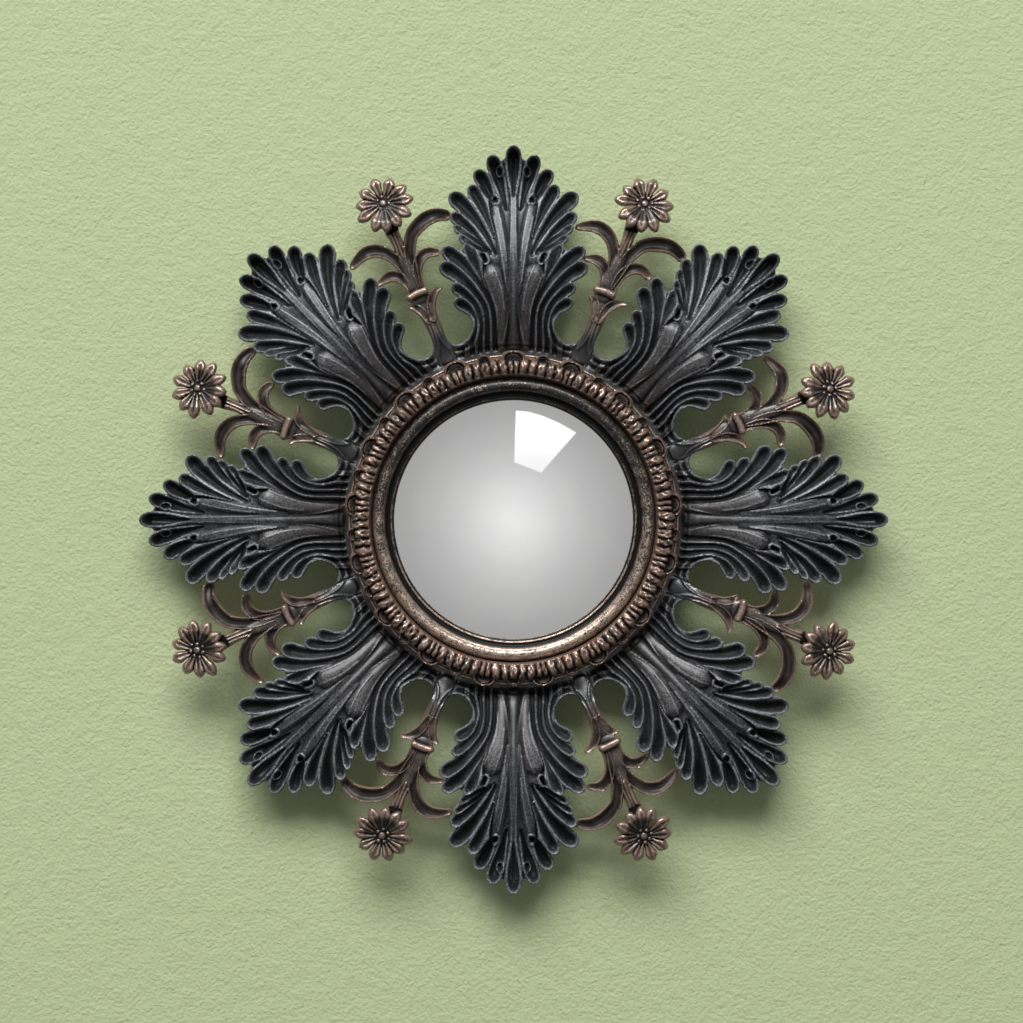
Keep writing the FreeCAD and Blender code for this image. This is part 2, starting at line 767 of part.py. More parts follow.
def flutes():
    cuts = []
    for row in FLUTE_SHARES:
        stations = [leaf_point(share) for share in row]
        radii = [float(S.flute_start), float(S.flute_start + S.flute_mouth) / 2, float(S.flute_mouth)]
        depths = [S.flute_depth * share for share in FLUTE_DEPTH_SHARES]
        for side in (-1, 1):
            cuts.append(flute(stations, radii, depths, side))
    return cuts


def pierced_eyes():
    eyes = []
    for share in PIERCED_EYE_SHARES:
        for side in (-1, 1):
            centre = leaf_point(share, side)
            eyes.append(cylinder(S.eye_radius, ZERO, S.overrun, centre.x, centre.y))
    return eyes


def midrib():
    """The raised rib down the middle, widest at the root."""
    length = float(S.leaf_reach - S.leaf_root)
    centres = []
    widths = []
    for share, width_share in MIDRIB_SHARES:
        along = S.leaf_root + share * length
        half = S.midrib_width * width_share / 2
        depth = leaf_face_depth(along) + S.midrib_height * width_share - half
        centres.append(point(0, along, depth))
        widths.append(half)
    return horn(centres, widths, Vector(1, 0, 0))


def leaf_shape():
    """One acanthus leaf with its tongue, which lies between the back ring and the moulding."""
    sections = [leaf_section(S.leaf_half_width * share) for share in LEAF_SECTION_SHARES]
    sheet = Part.makeLoft(sections, True, False)
    prism = Part.Face(leaf_outline()).extrude(point(0, 0, S.overrun))
    leaf = sheet.common(prism).cut(flutes()).fuse(midrib())
    return leaf.cut(pierced_eyes() + screw_holes([-SCREW_SPREAD, SCREW_SPREAD]))


def leaves():
    shape = leaf_shape()
    return [feature(name, shape.copy(), number * leaf_step()) for number, name in enumerate(LEAF_NAMES)]


# Flower sprig.

def sickle(row):
    """A curved leaf that springs from the stem and arches over to its tip."""
    places = row[:-1]
    widest = row[-1] * S.stem_half
    centres = [point(share[0] * FLOWER_PLACE, share[1] * FLOWER_PLACE, S.stem_depth)
               for share in places]
    radii = [widest * share for share in SICKLE_WIDTH_SHARES]
    return horn(centres, radii, FORWARD)


def flower():
    """A round flower of pointed petals that leans outward, with a boss and a cup behind it."""
    centre = point(0, FLOWER_PLACE, S.flower_depth)
    parts = []
    petal_length = S.flower_radius * PETAL_LENGTH_SHARE
    petal = egg(S.petal_width, petal_length, S.petal_width, point(0, S.flower_radius - petal_length / 2))
    for number in range(PETAL_COUNT):
        turned_petal = petal.copy()
        turned_petal.rotate(Vector(0, 0, 0), FORWARD, FULL_TURN * number / PETAL_COUNT)
        parts.append(turned_petal)
    heart_rise = S.petal_width * HEART_RISE_SHARE
    parts.append(cylinder(S.flower_heart, -S.petal_width / 2, heart_rise))
    parts.append(Part.makeSphere(S.flower_boss, point(0, 0, heart_rise)))
    cup = Part.makeCone(float(S.stem_half), float(S.flower_cup), float(S.flower_cup),
                        point(0, 0, -S.flower_cup), FORWARD)
    parts.append(cup)
    bloom = parts[0].fuse(parts[1:])
    bloom.rotate(Vector(0, 0, 0), Vector(1, 0, 0), -FLOWER_TILT)
    bloom.translate(centre)
    return bloom


def sprig_tongue():
    """The sprig's root, between two leaf roots."""
    half = S.sprig_tongue_half
    length = S.foot_reach - S.tongue_inner
    return Part.makeBox(half + half, length, S.tongue_thickness, point(-half, S.tongue_inner, SEAT_FACE))


def stem(places, shares):
    return horn(places, [S.stem_half * share for share in shares], Vector(1, 0, 0))


def sprig_shape():
    foot = S.foot_reach - S.sprig_tongue_half
    foot_depth = SEAT_FACE + S.sprig_tongue_half
    lower_places = []
    for share, rise in zip(LOWER_STEM_PLACE_SHARES, LOWER_STEM_DEPTH_SHARES):
        along = foot + (COLLAR_PLACE - foot) * share
        depth = foot_depth + (S.stem_depth - foot_depth) * rise
        lower_places.append(point(ZERO, along, depth))
    lower = stem(lower_places, LOWER_STEM_SHARES)
    length = FLOWER_PLACE - COLLAR_PLACE
    upper_places = [point(ZERO, COLLAR_PLACE + length * share, S.stem_depth)
                    for share in UPPER_STEM_PLACE_SHARES]
    upper = stem(upper_places, UPPER_STEM_SHARES)
    collar = Part.makeTorus(S.collar_radius - S.collar_tube, S.collar_tube,
                            point(ZERO, COLLAR_PLACE, S.stem_depth), Vector(0, 1, 0))
    parts = [lower, upper, collar, flower()] + [sickle(row) for row in SICKLE_SHARES]
    return sprig_tongue().fuse(parts).cut(screw_holes([0.0]))


def sprigs():
    shape = sprig_shape()
    lean = leaf_step() / 2
    return [feature(f"flower_sprig_{number + 1}", shape.copy(), number * leaf_step() + lean)
            for number in range(LEAF_COUNT)]


# Back hardware.

def wall_pads():
    pad = primitive("Cylinder", "wall_pad", (ZERO, S.pad_circle, ZERO),
                    Radius=S.pad_radius, Height=BACK_FACE)
    return spread("wall_pads", pad, PAD_ANGLES)


BUTTON_FRONT = BACK_FACE - S.button_gap
BUTTON_BACK = BUTTON_FRONT - S.button_thickness


def turn_buttons():
    """Flat oblong buttons that hold the backing disc; each turns on its screw."""
    half = S.button_half_width
    inner = S.button_circle - S.button_arm
    plate = united("button_plate", [
        primitive("Cylinder", "button_eye", (ZERO, S.button_circle, BUTTON_BACK),
                  Radius=half, Height=S.button_thickness),
        primitive("Cylinder", "button_end", (ZERO, inner, BUTTON_BACK),
                  Radius=half, Height=S.button_thickness),
        primitive("Box", "button_shaft", (-half, inner, BUTTON_BACK),
                  Length=half + half, Width=S.button_arm, Height=S.button_thickness)])
    hole = primitive("Cylinder", "button_hole", (ZERO, S.button_circle, ZERO),
                     Radius=S.button_screw_shank + S.pivot_gap, Height=BACK_FACE)
    button = cut_from("button", plate, hole)
    doc.recompute()
    return [feature(f"turn_button_{number}", button.Shape.copy(), angle)
            for number, angle in enumerate(BUTTON_ANGLES, start=1)]


def turn_button_screws():
    head_front = BUTTON_BACK - S.button_gap
    head_back = head_front - S.button_screw_head_height
    bite = BACK_FACE + S.button_screw_bite
    screw = united("button_screw", [
        primitive("Cylinder", "button_screw_head", (ZERO, S.button_circle, head_back),
                  Radius=S.button_screw_head, Height=S.button_screw_head_height),
        primitive("Cylinder", "button_screw_shank", (ZERO, S.button_circle, head_back),
                  Radius=S.button_screw_shank, Height=bite - head_back)])
    recess = recess_feature("button_screw_recess", S.button_screw_head, head_back, S.button_circle)
    return spread("turn_button_screws", cut_from("button_screw_driven", screw, recess), BUTTON_ANGLES)


def hanger_middle():
    """Height of the middle of the hanger plate above the mirror's axis."""
    return S.hanger_circle + (S.hanger_slot_rise + S.hanger_slot_half - S.hanger_hole) / 2


HANGER_BACK = BACK_FACE - S.hanger_thickness


def hanger_plate():
    """Metal plate with a keyhole: a round hole for the wall screw's head and a slot above it."""
    bottom = S.hanger_circle - S.hanger_hole - S.hanger_margin
    top = S.hanger_circle + S.hanger_slot_rise + S.hanger_slot_half + S.hanger_margin
    half = S.hanger_half_width
    blank = primitive("Box", "hanger_blank", (-half, bottom, HANGER_BACK),
                      Length=half + half, Width=top - bottom, Height=S.hanger_thickness)
    doc.recompute()
    rounded = doc.addObject("Part::Fillet", "hanger_rounded")
    rounded.Base = blank
    corner = float(S.hanger_corner)
    rounded.Edges = [(number, corner, corner) for number, edge in enumerate(blank.Shape.Edges, start=1)
                     if edge.Vertexes[0].Z != edge.Vertexes[1].Z]
    slot_end = S.hanger_circle + S.hanger_slot_rise
    slot_half = S.hanger_slot_half
    keyhole = [
        primitive("Cylinder", "hanger_hole", (ZERO, S.hanger_circle, ZERO),
                  Radius=S.hanger_hole, Height=BACK_FACE),
        primitive("Cylinder", "hanger_slot_end", (ZERO, slot_end, ZERO),
                  Radius=slot_half, Height=BACK_FACE),
        primitive("Box", "hanger_slot", (-slot_half, S.hanger_circle, ZERO),
                  Length=slot_half + slot_half, Width=S.hanger_slot_rise, Height=BACK_FACE)]
    screw_holes_in_plate = [
        primitive("Cylinder", f"hanger_screw_hole_{number}", (across, hanger_middle(), ZERO),
                  Radius=S.hanger_screw_shank + S.thread_gap, Height=BACK_FACE)
        for number, across in enumerate((-S.hanger_screw_place, S.hanger_screw_place), start=1)]
    plate = cut_from("hanger_plate", rounded, united("hanger_cuts", keyhole + screw_holes_in_plate))
    place(plate)
    return plate


def recess_feature(name, head_radius, back, along, across=ZERO):
    """A cross recess as two boxes that are tied to the sheet."""
    reach = head_radius * RECESS_REACH_SHARE
    half = S.recess_width / 2
    return united(name, [
        primitive("Box", name + "_level", (across - reach, along - half, back),
                  Length=reach + reach, Width=half + half, Height=S.recess_depth),
        primitive("Box", name + "_upright", (across - half, along - reach, back),
                  Length=half + half, Width=reach + reach, Height=S.recess_depth)])


def hanger_screw(number, across):
    back = HANGER_BACK - S.hanger_screw_head_height
    bite = BACK_FACE + S.hanger_screw_bite
    screw = united(f"hanger_screw_{number}", [
        primitive("Cylinder", f"hanger_screw_head_{number}", (across, hanger_middle(), back),
                  Radius=S.hanger_screw_head, Height=S.hanger_screw_head_height),
        primitive("Cylinder", f"hanger_screw_shank_{number}", (across, hanger_middle(), back),
                  Radius=S.hanger_screw_shank, Height=bite - back)])
    recess = recess_feature(f"hanger_screw_recess_{number}", S.hanger_screw_head, back,
                            hanger_middle(), across)
    return cut_from(f"hanger_screw_driven_{number}", screw, recess)


def hanger_screws():
    pair = doc.addObject("Part::Compound", "hanger_screws")
    pair.Links = [hanger_screw(1, -S.hanger_screw_place), hanger_screw(2, S.hanger_screw_place)]
    place(pair)
    return pair


def build():
    pieces = [back_ring(), bezel_ring(), ring_moulding(), mirror_glass(), foam_ring(), backing_disc()]
    pieces += leaves()
    pieces += sprigs()
    pieces += [ring_screws(), wall_pads()]
    pieces += turn_buttons()
    pieces += [turn_button_screws(), hanger_plate(), hanger_screws()]
    return pieces


def check(pieces):
    for made in doc.Objects:
        if "Invalid" in made.State or "Error" in made.State:
            raise RuntimeError(f"{made.Label} failed: {made.State}")
    for piece in pieces:
        if piece.Shape.isNull() or not piece.Shape.isValid():
            raise RuntimeError(f"{piece.Label} has no valid shape")


pieces = build()
doc.recompute()
check(pieces)
os.makedirs("parts", exist_ok=True)
for piece in pieces:
    piece.Shape.exportStep(f"parts/{piece.Label}.step")
    print(piece.Label, len(piece.Shape.Solids), round(piece.Shape.Volume, 1), piece.Shape.BoundBox)
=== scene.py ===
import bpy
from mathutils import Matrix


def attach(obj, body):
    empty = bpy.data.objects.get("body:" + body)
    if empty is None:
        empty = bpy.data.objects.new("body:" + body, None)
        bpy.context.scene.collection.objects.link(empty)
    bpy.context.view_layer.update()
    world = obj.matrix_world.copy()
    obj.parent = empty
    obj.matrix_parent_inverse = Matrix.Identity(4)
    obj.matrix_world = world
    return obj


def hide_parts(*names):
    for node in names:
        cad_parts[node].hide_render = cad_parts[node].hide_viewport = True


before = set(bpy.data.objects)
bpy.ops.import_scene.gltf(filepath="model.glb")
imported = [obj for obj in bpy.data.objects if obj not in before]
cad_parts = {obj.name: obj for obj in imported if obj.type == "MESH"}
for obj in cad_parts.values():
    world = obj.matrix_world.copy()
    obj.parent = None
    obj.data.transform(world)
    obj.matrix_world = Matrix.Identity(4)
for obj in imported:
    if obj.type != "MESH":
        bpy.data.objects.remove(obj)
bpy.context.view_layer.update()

import math

import bpy
import numpy as np
from mathutils import Vector

# The mirror is drawn in millimetres as if it lay on its back: across (right), along
# (towards its top) and depth (forward from the wall), with its own axis at zero.
WALL_Y = 2.3
AXIS_Z = -54.5
AXIS_METRES = AXIS_Z * 0.001
LEAVES = 8
STEP = 360.0 / LEAVES
SEAT = 9.0
MOULDING_SEAT = 13.0
FRONT_LIMIT = 24.8
# Radii of the feet's inner ends, of the carved ring's edge that hides them, and of the leaves' tips.
FOOT_END = 56.3
RING_EDGE = 62.9
REACH = 139.85
FOOT_LENGTH = 70.6
# How far a hidden foot stays below the carved ring, and above the back ring.
UNDER_RING = 0.05
ABOVE_SEAT = 0.02
# Edge distance that stands for well outside.
OUTSIDE = -9.0

rng = np.random.default_rng(7)


# Shapes.

def stand_up(points):
    """Points drawn lying on the back, in mm, to metres in the part's frame."""
    return np.column_stack([points[:, 0], WALL_Y - points[:, 2], points[:, 1] + AXIS_Z]) * 0.001


def smoothstep(low, high, x):
    t = np.clip((x - low) / (high - low), 0.0, 1.0)
    return t * t * (3 - 2 * t)


def bell(x, width):
    return np.exp(-(x / width) ** 2)


def curve(points, steps=10):
    """A smooth path through the given rows of numbers."""
    p = np.array(points, float)
    ends = np.vstack([2 * p[0] - p[1], p, 2 * p[-1] - p[-2]])
    t = np.linspace(0, 1, steps, endpoint=False)[:, None]
    rows = []
    for i in range(len(p) - 1):
        a, b, c, d = ends[i:i + 4]
        rows.append(0.5 * (2 * b + (c - a) * t + (2 * a - 5 * b + 4 * c - d) * t ** 2
                           + (3 * b - a - 3 * c + d) * t ** 3))
    rows.append(p[-1:])
    return np.vstack(rows)


class Stroke:
    """A finger, pipe or petal: a path from root to tip with a half width at each point."""

    FAR = 9.0
    # How many times its length the last stretch goes on past the tip.
    PAST_TIP = 6.0

    def __init__(self, rows, cap=1.35, mirror=False, **style):
        path = curve(rows)
        if mirror:
            path = path * np.array([-1.0, 1.0, 1.0])
        self.line, self.width = path[:, :2], path[:, 2]
        gaps = np.linalg.norm(np.diff(self.line, axis=0), axis=1)
        self.place = np.concatenate([[0.0], np.cumsum(gaps)])
        self.length = self.place[-1]
        self.cap = cap * self.width[-1]
        self.style = style

    def measure(self, u, v):
        """At each point: share of the half width, side, distance to the tip, half width."""
        shape = u.shape
        share = np.full(u.size, self.FAR)
        side = np.zeros(u.size)
        to_tip = np.full(u.size, 99.0)
        width = np.ones(u.size)
        reach = self.width.max() * 1.6 + 1.0
        low, high = self.line.min(0) - reach, self.line.max(0) + reach
        uf, vf = u.ravel(), v.ravel()
        near = np.nonzero((uf > low[0]) & (uf < high[0]) & (vf > low[1]) & (vf < high[1]))[0]
        if len(near):
            start, ahead = self.line[:-1], np.diff(self.line, axis=0)
            length2 = (ahead ** 2).sum(1)
            limit = np.ones(len(ahead))
            limit[-1] = self.PAST_TIP
            px = uf[near][:, None] - start[:, 0]
            py = vf[near][:, None] - start[:, 1]
            t = np.clip((px * ahead[:, 0] + py * ahead[:, 1]) / length2, 0.0, limit)
            dx, dy = px - t * ahead[:, 0], py - t * ahead[:, 1]
            best = (dx * dx + dy * dy).argmin(1)
            rows = np.arange(len(near))
            dx, dy, t = dx[rows, best], dy[rows, best], t[rows, best]
            turn = ahead[best, 0] * dy - ahead[best, 1] * dx
            along = self.place[best] + t * np.sqrt(length2[best])
            left = self.length - along
            w = np.interp(along, self.place, self.width)
            d = np.hypot(dx, dy)
            over = np.clip((self.cap - left) / self.cap, 0.0, None)
            share[near] = np.sqrt((d / w) ** 2 + over ** 2)
            side[near] = np.sign(turn) * d / w
            to_tip[near] = left
            width[near] = w
        return [values.reshape(shape) for values in (share, side, to_tip, width)]


def relief(us, vs, inside, heights):
    """A closed carved solid over the part of a grid where inside() is above zero.

    heights() gives the front and back depth at points, in mm.
    """
    h = us[1] - us[0]
    u, v = np.meshgrid(us, vs, indexing="ij")
    f = inside(u, v)
    gu, gv = np.gradient(f, h)
    slope = np.sqrt(gu * gu + gv * gv) + 1e-6
    away = f / np.maximum(slope, 0.3)
    edge = np.abs(away) < 0.55 * h
    u = np.where(edge, u - away * gu / slope, u)
    v = np.where(edge, v - away * gv / slope, v)
    keep = (f > 0) | edge
    number = np.full(keep.shape, -1)
    number[keep] = np.arange(keep.sum())
    corners, rim = (np.stack([grid[:-1, :-1], grid[1:, :-1], grid[1:, 1:], grid[:-1, 1:]], -1).reshape(-1, 4)
                    for grid in (number, edge))
    have = corners >= 0
    solid = (have & ~rim).any(1)
    quads = corners[have.all(1) & solid]
    three = corners[(have.sum(1) == 3) & solid]
    triangles = three[three >= 0].reshape(-1, 3)
    uu, vv = u[keep], v[keep]
    front, back = heights(uu, vv)
    count = len(uu)
    points = np.vstack([np.column_stack([uu, vv, front]), np.column_stack([uu, vv, back])])
    faces = quads.tolist() + triangles.tolist()
    edges = np.vstack([np.column_stack([quads[:, i], quads[:, (i + 1) % 4]]) for i in range(4)]
                      + [np.column_stack([triangles[:, i], triangles[:, (i + 1) % 3]]) for i in range(3)])
    forward = edges[:, 0] * count + edges[:, 1]
    backward = edges[:, 1] * count + edges[:, 0]
    border = edges[~np.isin(forward, backward)]
    back_faces = [[i + count for i in reversed(face)] for face in faces]
    sides = [[b, a, a + count, b + count] for a, b in border.tolist()]
    return points, faces + back_faces + sides


def crests(mesh, passes):
    """How far each vertex stands above its smoothed surroundings, in mm, one set per pass count."""
    n = len(mesh.vertices)
    co = np.empty(n * 3)
    mesh.vertices.foreach_get("co", co)
    co = co.reshape(-1, 3) * 1000
    normal = np.empty(n * 3)
    mesh.vertices.foreach_get("normal", normal)
    normal = normal.reshape(-1, 3)
    edges = np.empty(len(mesh.edges) * 2, np.int64)
    mesh.edges.foreach_get("vertices", edges)
    a, b = edges.reshape(-1, 2).T
    degree = np.bincount(a, minlength=n) + np.bincount(b, minlength=n)
    soft = co.copy()
    found = []
    for number in range(1, max(passes) + 1):
        total = np.empty_like(soft)
        for k in range(3):
            total[:, k] = np.bincount(a, soft[b, k], n) + np.bincount(b, soft[a, k], n)
        soft = 0.5 * soft + 0.5 * total / np.maximum(degree, 1)[:, None]
        if number in passes:
            found.append(((co - soft) * normal).sum(1))
    return found


def mesh_of(name, points, faces, sharp=50.0):
    mesh = bpy.data.meshes.new(name)
    mesh.from_pydata(stand_up(points).tolist(), [], faces)
    mesh.update()
    mesh.polygons.foreach_set("use_smooth", np.ones(len(mesh.polygons), bool))
    mesh.set_sharp_from_angle(angle=math.radians(sharp))
    return mesh


def set_field(mesh, name, values):
    """A number at each vertex that the materials read."""
    mesh.attributes.new(name, "FLOAT", "POINT").data.foreach_set("value", values.astype(np.float32))


def carve_fields(mesh, finer, fine=10, broad=70):
    """The fields crest, for fine edges, and swell, for broad forms.

    Smoothing reaches as far in the full mesh as in the quick one, which has 1/finer of its points.
    """
    scale = finer
    near, far = crests(mesh, (round(fine * scale), round(broad * scale)))
    set_field(mesh, "crest", near)
    set_field(mesh, "swell", far)


def place_object(name, data):
    obj = bpy.data.objects.new(name, data)
    bpy.context.scene.collection.objects.link(obj)
    return obj


def piece(name, mesh, material, nodes, body="frame"):
    obj = place_object(name, mesh)
    mesh.materials.append(material)
    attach(obj, body)
    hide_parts(*nodes)


# Acanthus leaf. Rows are across, along and half width, from root to tip.

FINGERS = [
    # lower group
    dict(rows=[(9.6, 83, .5), (11.3, 87.5, .9), (13.2, 92, 1.6), (15.2, 97.5, 2.2), (17.4, 103.3, 2.4)],
         lift=1.3),
    dict(rows=[(6.3, 58, 1.3), (6.75, 65, 1.5), (7.2, 75, 1.25), (8.6, 81, 1.3), (13, 88.5, 1.8),
               (19, 95.2, 2.6), (26.4, 101, 3.0)], lift=1.2),
    dict(rows=[(9, 58, 1.3), (9.75, 65, 1.4), (9.65, 74, 1.2), (11, 80, 1.3), (16, 86.5, 2.0),
               (21, 91, 2.8), (27.5, 94.8, 3.2)], lift=1.1),
    dict(rows=[(12, 58, 1.3), (12.4, 65, 1.3), (12, 73, 1.15), (13.6, 79, 1.4), (17.5, 83.6, 2.1),
               (23.0, 87, 2.5)], lift=0.9),
    dict(rows=[(15, 58, 1.3), (15.4, 65, 1.4), (14.3, 72, 1.05), (15.2, 76.3, 1.5), (18, 79.5, 2.3),
               (22.2, 81.4, 2.5)], lift=0.7),
    # middle group
    dict(rows=[(10.8, 100.2, .6), (13.5, 101.6, 1.2), (16.5, 103.4, 1.8), (20.3, 105.8, 2.1)],
         lift=0.2, sink=2.0),
    dict(rows=[(9.8, 100.2, .6), (12.5, 102.6, 1.2), (16.5, 106, 1.8), (22.2, 109.6, 2.2)],
         lift=0.4, sink=1.8),
    dict(rows=[(8.6, 99.5, .7), (12, 103, 1.3), (16.5, 108.3, 2.0), (23.4, 114.2, 2.7)], lift=0.7, sink=1.3),
    dict(rows=[(6.8, 99, .8), (10, 105.5, 1.4), (14.5, 112.3, 2.3), (19.5, 118, 3.2), (23.9, 121.9, 3.3)],
         lift=1.1, sink=.8),
    dict(rows=[(7.5, 105.5, .6), (9.4, 111, 1.3), (12.1, 117.4, 2.3), (16.3, 125.0, 2.7)],
         lift=1.3, sink=.3),
    # upper group
    dict(rows=[(7.3, 118.5, .6), (8.7, 121.8, 1.5), (11, 126.2, 2.6), (14.2, 130.8, 3.1)],
         lift=0.1, sink=1.0),
    dict(rows=[(2.7, 116, .5), (4.0, 121.5, 1.4), (6.0, 128.8, 2.6), (8.5, 136.2, 3.1)],
         lift=0.3, sink=.9),
]
POINT_FINGER = dict(rows=[(0, 120.5, .7), (0, 125, 1.5), (0, 131, 2.6), (0, 139.6, 3.4)], lift=0.4)
PIPES = [
    dict(rows=[(4.6, 58, 1.4), (4.3, 65, 1.6), (4.2, 72, 2.2), (4.7, 79, 2.9), (6.3, 86, 3.9),
               (7.9, 90.8, 4.2), (9.3, 94.6, 2.9)], rub=1.0),
    dict(rows=[(2.6, 84, .8), (3.1, 92, 1.4), (3.9, 100, 1.9), (5.1, 108, 2.2), (6.2, 114, 2.2),
               (7.0, 119.6, 1.7)], rub=0.35),
]
MIDRIB = dict(rows=[(0, 55, 4.0), (0, 66, 2.5), (0, 80, 1.5), (0, 95, 1.2), (0, 110, 1.0), (0, 122, .8)])
EYES = [dict(rows=[(10.5, 96.2, .6), (11.2, 97.4, .75), (12.0, 98.7, .6)]),
        dict(rows=[(6.5, 118.9, .45), (6.7, 119.6, .5), (7.0, 120.4, .45)])]
# Fine raised lines: height and path.
RIB_LINES = [
    (0.42, [(5.6, 60, 1), (3.4, 68, 1), (1.9, 76, 1), (1.6, 86, 1), (1.3, 98, 1), (1.0, 112, 1),
            (.8, 136, 1)]),
    (0.30, [(7.0, 66, 1), (6.2, 73, 1), (7.0, 80, 1), (9.4, 87, 1), (11.8, 92.5, 1)]),
    (0.26, [(3.4, 78, 1), (4.3, 85, 1), (6.3, 91, 1), (8.3, 95.5, 1)]),
    (0.30, [(3.0, 88, 1), (4.4, 98, 1), (6.3, 107, 1), (7.8, 114, 1)]),
    (0.24, [(2.6, 96, 1), (3.6, 105, 1), (5.0, 113, 1), (6.2, 117.5, 1)]),
]
# The leaf's body between its fingers: place along it and half width.
CORE = [(53, 18.2), (60, 17.5), (64, 16.5), (68, 15.2), (72, 14.6), (75, 15.6), (80, 17.6), (83.4, 18.9),
        (88.4, 21.0), (92, 22.6), (96.4, 23.6), (98.5, 21.8), (101.2, 18.8), (103.6, 16.9), (105.5, 17.8),
        (107.3, 19.3), (110.8, 20.2), (115.6, 20.4), (119, 18.9), (122.4, 16.4), (125.8, 13.0), (129, 10.4),
        (131.4, 7.9), (134, 4.8), (136, 2.4), (138, 0.0)]
# Side view: place along the leaf and depth of its face.
FACE = [(52, 12.95), (63.5, 12.98), (66, 14.4), (69, 16.1), (74, 17.9), (79.6, 19.6), (86, 21.3),
        (91.7, 22.0), (98, 21.7), (104.5, 20.3), (111, 18.3), (117.3, 16.1), (123, 14.2), (127.9, 13.2),
        (132, 13.2), (136, 14.3), (140, 16.4), (144, 18.0)]
# The pierced hole beside the foot: its middle across and along, and its two half widths.
HOLE = (21.4, 73.4, 6.1, 7.7)
# Space left between a leaf's foot and the middle line of the sprig beside it.
LEAF_CLEARANCE = 3.43
SPRIG_FOOT_HALF = 3.37


def table_curve(rows):
    path = curve(rows, 8)
    return lambda x: np.interp(x, path[:, 0], path[:, 1])


face_depth = table_curve(FACE)
core_width = table_curve(CORE)


